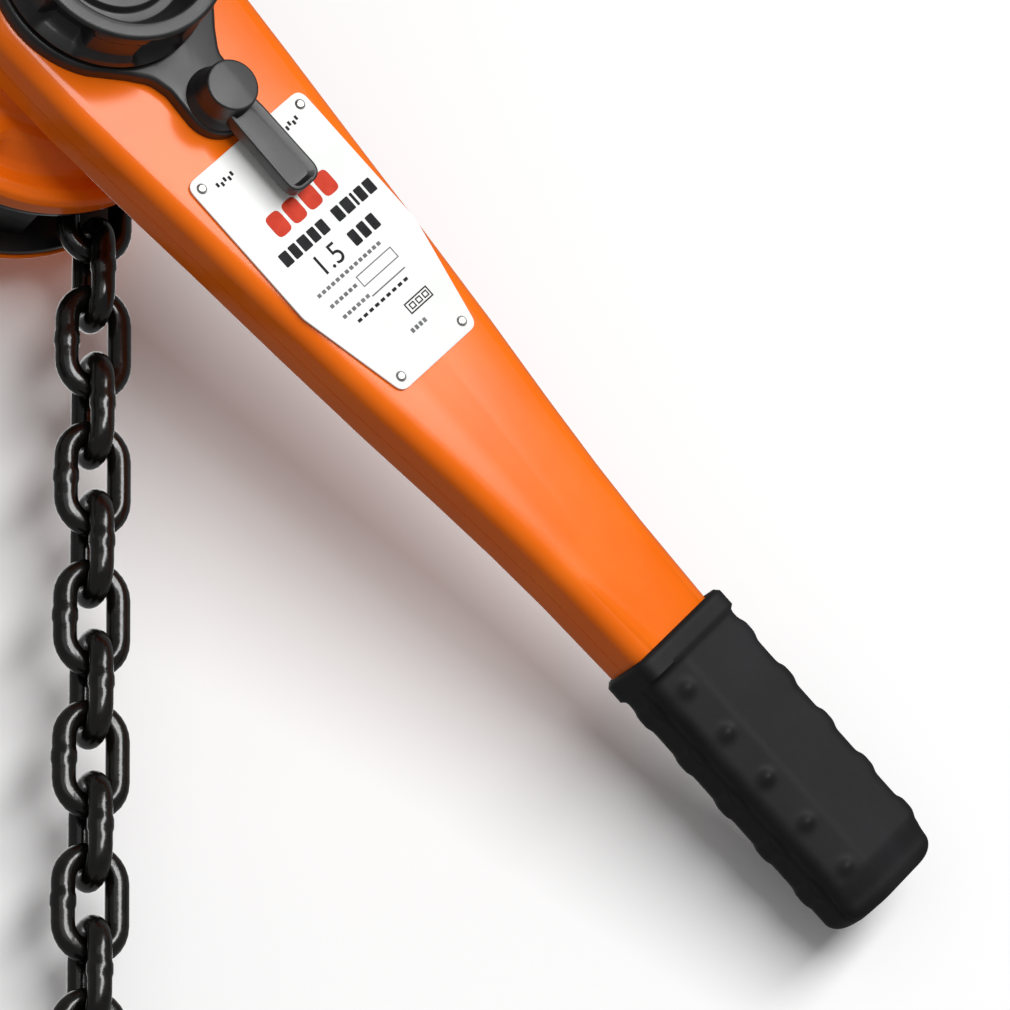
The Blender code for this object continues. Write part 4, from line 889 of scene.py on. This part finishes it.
housing = {"back": -76.3, "thick": 5.2, "radius": 37.0, "ear": 12.0, "edge": 1.6, "stemHole": 5.3}
outline = []
for k in range(0, 53):
    t = math.radians(50 + 5 * k)
    outline.append((housing["radius"] * math.cos(t), housing["radius"] * math.sin(t)))
neck = [(24.5, -27.6), (33.0, -18.5), (39.0, -13.0), (45.0, -11.4), (50.0, -11.0)]
outline += rounded(neck, 10, 5, closed=False)[1:-1]
for k in range(-9, 10):
    t = math.radians(10 * k)
    outline.append((lever["selectorAt"] + housing["ear"] * math.cos(t), housing["ear"] * math.sin(t)))
neck = [(50.0, 11.4), (45.0, 13.0), (39.0, 17.5), (32.0, 24.0), (24.0, 28.0)]
outline += rounded(neck, 10, 5, closed=False)[1:-1]
shape = bmesh.new()
pushOut(shape, [onLever(u, n) for u, n in outline], housing["back"], housing["back"] - housing["thick"])
soften(shape, housing["edge"], 4, 1.0, lambda edge: max(v.co.y for v in edge.verts) < housing["back"] - 1)
piece = finishPiece("selectorHousing", shape, "blackCasting", "lever", ["selector_housing"], 40)
cutAway(piece, roundCutter(shaftAt, lever["hubHole"], -90, -60))
cutAway(piece, roundCutter(selector, housing["stemHole"], -90, -60))
shade(piece.data, 40)

knob = {
    "top": -94.0,
    "back": housing["back"] - housing["thick"] - 0.3,
    "stem": 5.0,
    "stemBack": -54.4,
    "end": 97.0,
    "half": 6.6,
    "dish": 2.0,
    "lean": 0.3,
    "front": -89.4,
    "rear": -84.0,
}
shape = bmesh.new()
line = rounded(
    [(0.0, knob["top"]), (8.9, knob["top"], 0.9), (9.3, knob["back"] - 3.4, 4.5), (11.4, knob["back"], 0.2),
     (knob["stem"], knob["back"], 0.0), (knob["stem"], knob["stemBack"], 0.6), (0.0, knob["stemBack"])],
    0.5, 5, closed=False,
)
spinProfile(shape, line, selector, 64, closed=False)
paddle = bmesh.new()
outline = rounded(
    [(lever["selectorAt"] + 2, -knob["half"] + 1, 0.0), (lever["selectorAt"] + 12, -knob["half"] + 0.4, 4),
     (knob["end"], -knob["half"], 5.0), (knob["end"], knob["half"], 5.0),
     (lever["selectorAt"] + 12, knob["half"] - 0.4, 4), (lever["selectorAt"] + 2, knob["half"] - 1, 0.0)],
    1.0, 8,
)
faces = pushOut(paddle, [(u, n) for u, n in outline], knob["rear"], knob["front"])
bmesh.ops.inset_region(paddle, faces=faces, thickness=1.3, depth=0.0, use_even_offset=True)
bmesh.ops.inset_region(paddle, faces=faces, thickness=1.7, depth=0.0, use_even_offset=True)
for face in faces:  # the dish the thumb rests in, deeper towards one edge
    for vert in face.verts:
        vert.co.y += knob["dish"] - knob["lean"] * vert.co.z
soften(paddle, 0.5, 3, 0.35)
for vert in paddle.verts:  # from the lever's frame to the hoist's, a little cranked towards the thumb
    u, n = vert.co.x, vert.co.z
    lift = 1.1 * smoothStep(64, 96, u)
    spot = onLever(u, n)
    vert.co = (spot[0], vert.co.y + 0.4 * lift, spot[1])
addTo(shape, paddle)
finishPiece("selectorKnob", shape, "blackCasting", "selector", ["selector_knob"], 40)
print("selector made")

# Handwheel and its nut

wheel = {
    "front": -105.5,
    "back": -82.6,
    "lobes": 6,
    "hubFront": -95.0,
    "hub": 12.0,
    "hubBack": -73.0,
    "bore": 6.3,
    "fluteFrom": 31.0,
    "fluteDepth": 5.6,
}
foot, face = wheel["back"], wheel["front"]
rim = [  # radius, place and rounding, from the hub's back round the ring to the hub's front
    (33.2, foot, 0.8), (36.4, foot - 2.0, 0.9), (36.0, foot - 4.6, 1.2), (34.2, foot - 7.2, 1.5),
    (34.2, face + 7.6, 2.0), (35.3, face + 4.4, 1.2), (35.2, face, 1.5), (29.4, face, 0.9),
    (28.6, face + 4.8, 0.9), (24.6, face + 12.6, 0.8), (21.0, face + 12.6, 0.8),
]
hubStep = wheel["hubFront"] + 4.0
line = rounded(
    [(wheel["bore"], wheel["hubBack"], 0.0), (wheel["hub"], wheel["hubBack"], 0.4), (wheel["hub"], foot, 0.6)]
    + rim
    + [(19.8, wheel["hubFront"], 0.7), (12.6, wheel["hubFront"], 0.5), (wheel["hub"], hubStep, 0.4),
       (wheel["bore"], hubStep, 0.0)],
    0.8, 4,
)
shape = bmesh.new()
spinProfile(shape, line, shaftAt, 288)
for vert in shape.verts:  # the flutes between the six lobes, under the ring
    way = Vector((vert.co.x - shaft.x, vert.co.z - shaft.z))
    if way.length < wheel["fluteFrom"]:
        continue
    turn = math.atan2(way.y, way.x)
    flute = smoothStep(-0.15, 0.55, math.cos(wheel["lobes"] * turn))
    depth = wheel["fluteDepth"] * smoothStep(foot - 2.5, foot - 6.5, vert.co.y)
    depth *= 1 - smoothStep(face + 5.2, face + 2.6, vert.co.y)
    scale = 1 - flute * depth / way.length
    vert.co.x, vert.co.z = shaft.x + way.x * scale, shaft.z + way.y * scale
finishPiece("handwheel", shape, "blackCasting", "drive_shaft", ["handwheel"], 34)

low, high = boxOf("castle_nut")
shape = bmesh.new()
pushOut(shape, ringOf(10.4, 6, shaftAt, 0.3), low.y, high.y)
soften(shape, 0.5, 3, 0.5)
piece = finishPiece("castleNut", shape, "machinedSteel", "drive_shaft", ["castle_nut"], 30)
cutAway(piece, roundCutter(shaftAt, 6.3, low.y - 2, high.y + 2))
for k in range(3):
    t = 0.3 + math.pi / 6 + math.pi * k / 3
    slotWay, slotSide = Vector((math.cos(t), math.sin(t))) * 12, Vector((-math.sin(t), math.cos(t))) * 1.3
    centre = Vector(shaftAt)
    cutter = bmesh.new()
    ends = (slotWay + slotSide, slotWay - slotSide, -slotWay - slotSide, -slotWay + slotSide)
    pushOut(cutter, [tuple(centre + end) for end in ends], low.y - 1, low.y + 2.2)
    cutAway(piece, cutter)
print("handwheel made")

# Hooks, latches and yokes

hookSize = {"bowl": 21.0, "shank": 8.0, "sides": 20, "stations": 84}


def hookStations(saddle, turn):
    reach, shank = hookSize["bowl"], hookSize["shank"]
    rows = [  # place across, height over the saddle, half across and half deep
        (0.0, -91.0, shank, shank), (0.0, -78.0, shank, shank), (0.0, -65.0, shank, shank),
        (-1.5, -58.5, 9.0, 8.2), (-7.5, -53.0, 9.2, 8.0),
    ]
    for a in range(230, -29, -23):
        t = math.radians(a)
        grown = max(0.0, 1.0 - abs(a - 95) / 125.0)
        half = 8.2 + 2.6 * grown if a >= 30 else 8.6 - 3.8 * (30 - a) / 55.0
        out = reach + half + max(0.0, 10 - a) * 0.05
        rows.append((out * math.cos(t), -reach + out * math.sin(t), half, min(7.6, half + 0.6)))
    knots = [Vector(row) for row in rows]
    made = []
    total = hookSize["stations"]
    for k in range(total + 1):
        place = (len(knots) - 1) * k / total
        i = min(int(place), len(knots) - 2)
        t = place - i
        p0, p1, p2, p3 = (knots[max(0, min(len(knots) - 1, i + d))] for d in (-1, 0, 1, 2))
        square = (2 * p0 - 5 * p1 + 4 * p2 - p3) * t * t
        cube = (3 * p1 - p0 - 3 * p2 + p3) * t ** 3
        made.append(0.5 * (2 * p1 + (p2 - p0) * t + square + cube))
    stations = []
    for k, row in enumerate(made):
        ahead, behind = made[min(k + 1, total)], made[max(k - 1, 0)]
        way = Vector((ahead[0] - behind[0], 0, turn * (ahead[1] - behind[1]))).normalized()
        side = Vector((0, 1, 0)).cross(way)
        stations.append((Vector((row[0], 0, saddle + turn * row[1])), way, side, row[2], row[3]))
    # the tip is drawn in to a round nose
    centre, way, side, half, deep = stations[-1]
    for k in range(1, 7):
        t = math.pi / 2 * k / 6.4
        nose, small = centre + way * half * 0.7 * math.sin(t), math.cos(t)
        stations.append((nose, way, side, half * small, deep * small))
    return stations


def addSpunZ(shape, profile, steps=64):
    made = bmesh.new()
    spinAboutZ(made, profile, steps)
    bmesh.ops.recalc_face_normals(made, faces=made.faces)
    addTo(shape, made)


def roundedRod(a, b, ra, rb, count=14):
    a, b = Vector(a), Vector(b)
    way = (b - a).normalized()
    side = Vector((-way.y, way.x))
    tilt = math.asin(max(-1.0, min(1.0, (ra - rb) / (b - a).length)))
    outline = []
    for k in range(count + 1):
        t = math.pi / 2 - tilt + (math.pi + 2 * tilt) * k / count
        outline.append(tuple(a + (way * math.cos(t) + side * math.sin(t)) * ra))
    for k in range(count + 1):
        t = -math.pi / 2 + tilt + (math.pi - 2 * tilt) * k / count
        outline.append(tuple(b + (way * math.cos(t) + side * math.sin(t)) * rb))
    return outline


latchPivot, latchTip = Vector((12.5, -57.0)), Vector((20.0, -33.5))


def makeHook(name, node, saddle, turn):
    shape = bmesh.new()
    sweep(shape, hookStations(saddle, turn), hookSize["sides"])
    for low, high, radius in ((-91.5, -83.0, 11.0), (-72.4, -66.5, 12.5)):
        addSpunZ(shape, [(r, saddle + turn * z) for r, z in barLine(radius, low, high, 1.2)])
    lug = bmesh.new()
    pivot = (latchPivot.x, saddle + turn * latchPivot.y)
    foot = (latchPivot.x - 9.0, saddle + turn * (latchPivot.y - 3.0))
    pushOut(lug, roundedRod(pivot, foot, 4.0, 6.0), -3.6, 3.6)
    soften(lug, 0.6, 3, 1.0)
    spinProfile(lug, barLine(2.0, -8.2, 8.2, 0.5, 3), pivot, 32, closed=False)
    bmesh.ops.recalc_face_normals(lug, faces=lug.faces)
    addTo(shape, lug)
    finishPiece(name, shape, "orangePaint", node, [node], 45)


def makeLatch(name, node, saddle, turn):
    pivot = Vector((latchPivot.x, saddle + turn * latchPivot.y))
    tip = Vector((latchTip.x, saddle + turn * latchTip.y))
    way = (tip - pivot).normalized()
    side = Vector((-way.y, way.x))
    if side.x > 0:
        side = -side
    web = [pivot + way * 7.5 + side * 1.0, tip + side * 1.0, tip - side * 1.2, pivot + way * 7.5 - side * 1.2]
    shape = bmesh.new()
    pushOut(shape, [tuple(p) for p in web], -6.2, 6.2)
    for y0, y1 in ((-6.2, -4.4), (4.4, 6.2)):
        pushOut(shape, roundedRod(tuple(pivot), tuple(pivot + way * 12.0), 4.6, 2.6), y0, y1)
    soften(shape, 0.3, 2, 1.0)
    piece = finishPiece(name, shape, "zincSteel", node, [node], 40)
    cutAway(piece, roundCutter(tuple(pivot), 2.3, -8, 8, 32))


bottomSaddle = chainPin.z - 111.0
makeHook("topHook", "top_hook", 0.0, 1)
makeLatch("topLatch", "top_latch", 0.0, 1)
makeHook("bottomHook", "bottom_hook", bottomSaddle, -1)
makeLatch("bottomLatch", "bottom_latch", bottomSaddle, -1)


def boxCutter(x, y, z):
    cutter = bmesh.new()
    pushOut(cutter, [(x[0], z[0]), (x[1], z[0]), (x[1], z[1]), (x[0], z[1])], y[0], y[1])
    return cutter


def postCutter(radius, z0, z1):
    cutter = bmesh.new()
    spinAboutZ(cutter, [(0.0, z0), (radius, z0), (radius, z1), (0.0, z1)], 48)
    return cutter


yoke = {"halfX": 14.0, "top": -73.0, "bridge": -82.0, "halfY": 15.6}
outline = [(-yoke["halfX"], yoke["top"]), (yoke["halfX"], yoke["top"]), (yoke["halfX"], topPin.z)]
for k in range(1, 28):
    t = -math.pi * k / 28
    outline.append((yoke["halfX"] * math.cos(t), topPin.z + yoke["halfX"] * math.sin(t)))
outline.append((-yoke["halfX"], topPin.z))
outline = rounded([(*outline[0], 3.0), (*outline[1], 3.0)] + [(*p, 0.0) for p in outline[2:]], 0.0, 5)
shape = bmesh.new()
pushOut(shape, outline, -yoke["halfY"], yoke["halfY"])
soften(shape, 1.2, 4, 1.0)
piece = finishPiece("topYoke", shape, "darkForging", "top_yoke", ["top_yoke"], 45)
cutAway(piece, boxCutter((-30, 30), (-11.8, 11.8), (-200, yoke["bridge"])))
cutAway(piece, postCutter(hookSize["shank"] + 0.4, -100, 0))
cutAway(piece, roundCutter((topPin.x, topPin.z), 6.3, -30, 30))

low, high = boxOf("bottom_yoke")
outline = rounded([(-15, low.z, 3.5), (15, low.z, 3.5), (15, high.z, 5.0), (-15, high.z, 5.0)], 3.0, 6)
shape = bmesh.new()
pushOut(shape, outline, -13.5, 13.5)
soften(shape, 1.6, 4, 1.0)
piece = finishPiece("bottomYoke", shape, "darkForging", "bottom_yoke", ["bottom_yoke"], 45)
cutAway(piece, boxCutter((-30, 30), (-4.6, 4.6), (chainPin.z - 13.3, chainPin.z + 30)))
cutAway(piece, boxCutter((-11.6, 11.6), (-30, 30), (bottomSaddle + 82.4, bottomSaddle + 92.6)))
cutAway(piece, postCutter(hookSize["shank"] + 0.4, low.z - 5, bottomSaddle + 88))
cutAway(piece, roundCutter((chainPin.x, chainPin.z), 4.3, -30, 30))
low, high = boxOf("chain_pin")
shape = bmesh.new()
line = barLine(chain["wire"] / 2, low.y, high.y, 0.8)
spinProfile(shape, line, (chainPin.x, chainPin.z), 48, closed=False)
finishPiece("chainPin", shape, "zincSteel", "bottom_yoke", ["chain_pin"], 50)
print("hooks made")

# The inner pieces keep their own shapes and get their finishes

inside = {
    "darkForging": ["load_sheave", "chain_stripper", "changeover_pawl"],
    "machinedSteel": ["load_gear", "pinion_shaft", "disc_gear_1", "disc_gear_2", "brake_hub", "ratchet_wheel",
                      "brake_pawl_1", "brake_pawl_2", "change_gear", "sheave_bearing_front",
                      "sheave_bearing_rear", "guide_roller_1", "guide_roller_2"],
    "brakeLining": ["friction_disc_inner", "friction_disc_outer"],
}
for look, names in inside.items():
    for name in names:
        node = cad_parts[name]
        node.data.materials.clear()
        node.data.materials.append(finishes[look])

# Floor behind the hoist, light and camera

studio = {
    "floorAt": (-0.029, 0.058, -0.171),
    "floorFacing": (-0.25, -1.0, 0.06),
    "floorHalf": 9.0,
    "worldTone": (1.0, 1.0, 1.0),
    "worldStrength": 0.22,
}
shape = bmesh.new()
bmesh.ops.create_grid(
    shape, x_segments=1, y_segments=1, size=studio["floorHalf"],
    matrix=Matrix.Translation(studio["floorAt"])
    @ Vector(studio["floorFacing"]).to_track_quat("Z", "Y").to_matrix().to_4x4(),
)
mesh = bpy.data.meshes.new("floor")
shape.to_mesh(mesh)
shape.free()
floor = bpy.data.objects.new("floor", mesh)
bpy.context.scene.collection.objects.link(floor)
pale = bpy.data.materials.new("paleFloor")
pale.use_nodes = True
nodes, links = pale.node_tree.nodes, pale.node_tree.links
nodes["Principled BSDF"].inputs["Base Color"].default_value = (0.92, 0.92, 0.92, 1)
nodes["Principled BSDF"].inputs["Roughness"].default_value = 0.9
nodes["Principled BSDF"].inputs["Specular IOR Level"].default_value = 0.1
side = nodes.new("ShaderNodeNewGeometry")  # from behind, the floor lets the hoist be seen
clear = nodes.new("ShaderNodeBsdfTransparent")
pick = nodes.new("ShaderNodeMixShader")
links.new(side.outputs["Backfacing"], pick.inputs["Fac"])
links.new(nodes["Principled BSDF"].outputs["BSDF"], pick.inputs[1])
links.new(clear.outputs["BSDF"], pick.inputs[2])
links.new(pick.outputs["Shader"], nodes["Material Output"].inputs["Surface"])
mesh.materials.append(pale)
floor.visible_shadow = False
floor.visible_diffuse = False
floor.visible_glossy = False

world = bpy.data.worlds.new("paleRoom")
bpy.context.scene.world = world
world.use_nodes = True
world.node_tree.nodes["Background"].inputs["Color"].default_value = (*studio["worldTone"], 1)
world.node_tree.nodes["Background"].inputs["Strength"].default_value = studio["worldStrength"]
bpy.context.scene.view_settings.view_transform = "Standard"

target = Vector((0.1298, -0.040, -0.320))
lamps = {  # place from the target, width, height, power, turn
    "keySoftbox": ((0.05, -2.40, 0.48), 0.75, 2.20, 58.0, -45.0),
    "frontFill": ((-1.90, -3.00, -0.20), 2.6, 2.6, 12.0, 0.0),
    "rearFill": ((0.3, 1.6, 0.7), 1.6, 1.6, 8.0, 0.0),
}
for name, (offset, width, height, power, turn) in lamps.items():
    data = bpy.data.lights.new(name, "AREA")
    data.shape = "RECTANGLE"
    data.size, data.size_y, data.energy = width, height, power
    lamp = bpy.data.objects.new(name, data)
    lamp.location = target + Vector(offset)
    facing = Vector(offset).to_track_quat("Z", "Y") @ Quaternion((0, 0, 1), math.radians(turn))
    lamp.rotation_euler = facing.to_euler()
    bpy.context.scene.collection.objects.link(lamp)

lens = {"azimuth": -24.75, "elevation": -19.93, "roll": -1.07, "distance": 2.009, "length": 217.5}
azimuth, elevation = math.radians(lens["azimuth"]), math.radians(lens["elevation"])
back = Vector((
    math.sin(azimuth) * math.cos(elevation), -math.cos(azimuth) * math.cos(elevation), math.sin(elevation),
))
right = (-back).cross(Vector((0, 0, 1))).normalized()
up = right.cross(-back)
roll = math.radians(lens["roll"])
cameraRight = right * math.cos(roll) + up * math.sin(roll)
cameraUp = up * math.cos(roll) - right * math.sin(roll)
data = bpy.data.cameras.new("camera")
data.lens = lens["length"]
data.sensor_width = 36.0
camera = bpy.data.objects.new("camera", data)
turned = Matrix((cameraRight, cameraUp, back)).transposed().to_4x4()
camera.matrix_world = Matrix.Translation(target + back * lens["distance"]) @ turned
bpy.context.scene.collection.objects.link(camera)
bpy.context.scene.camera = camera
print("studio made")
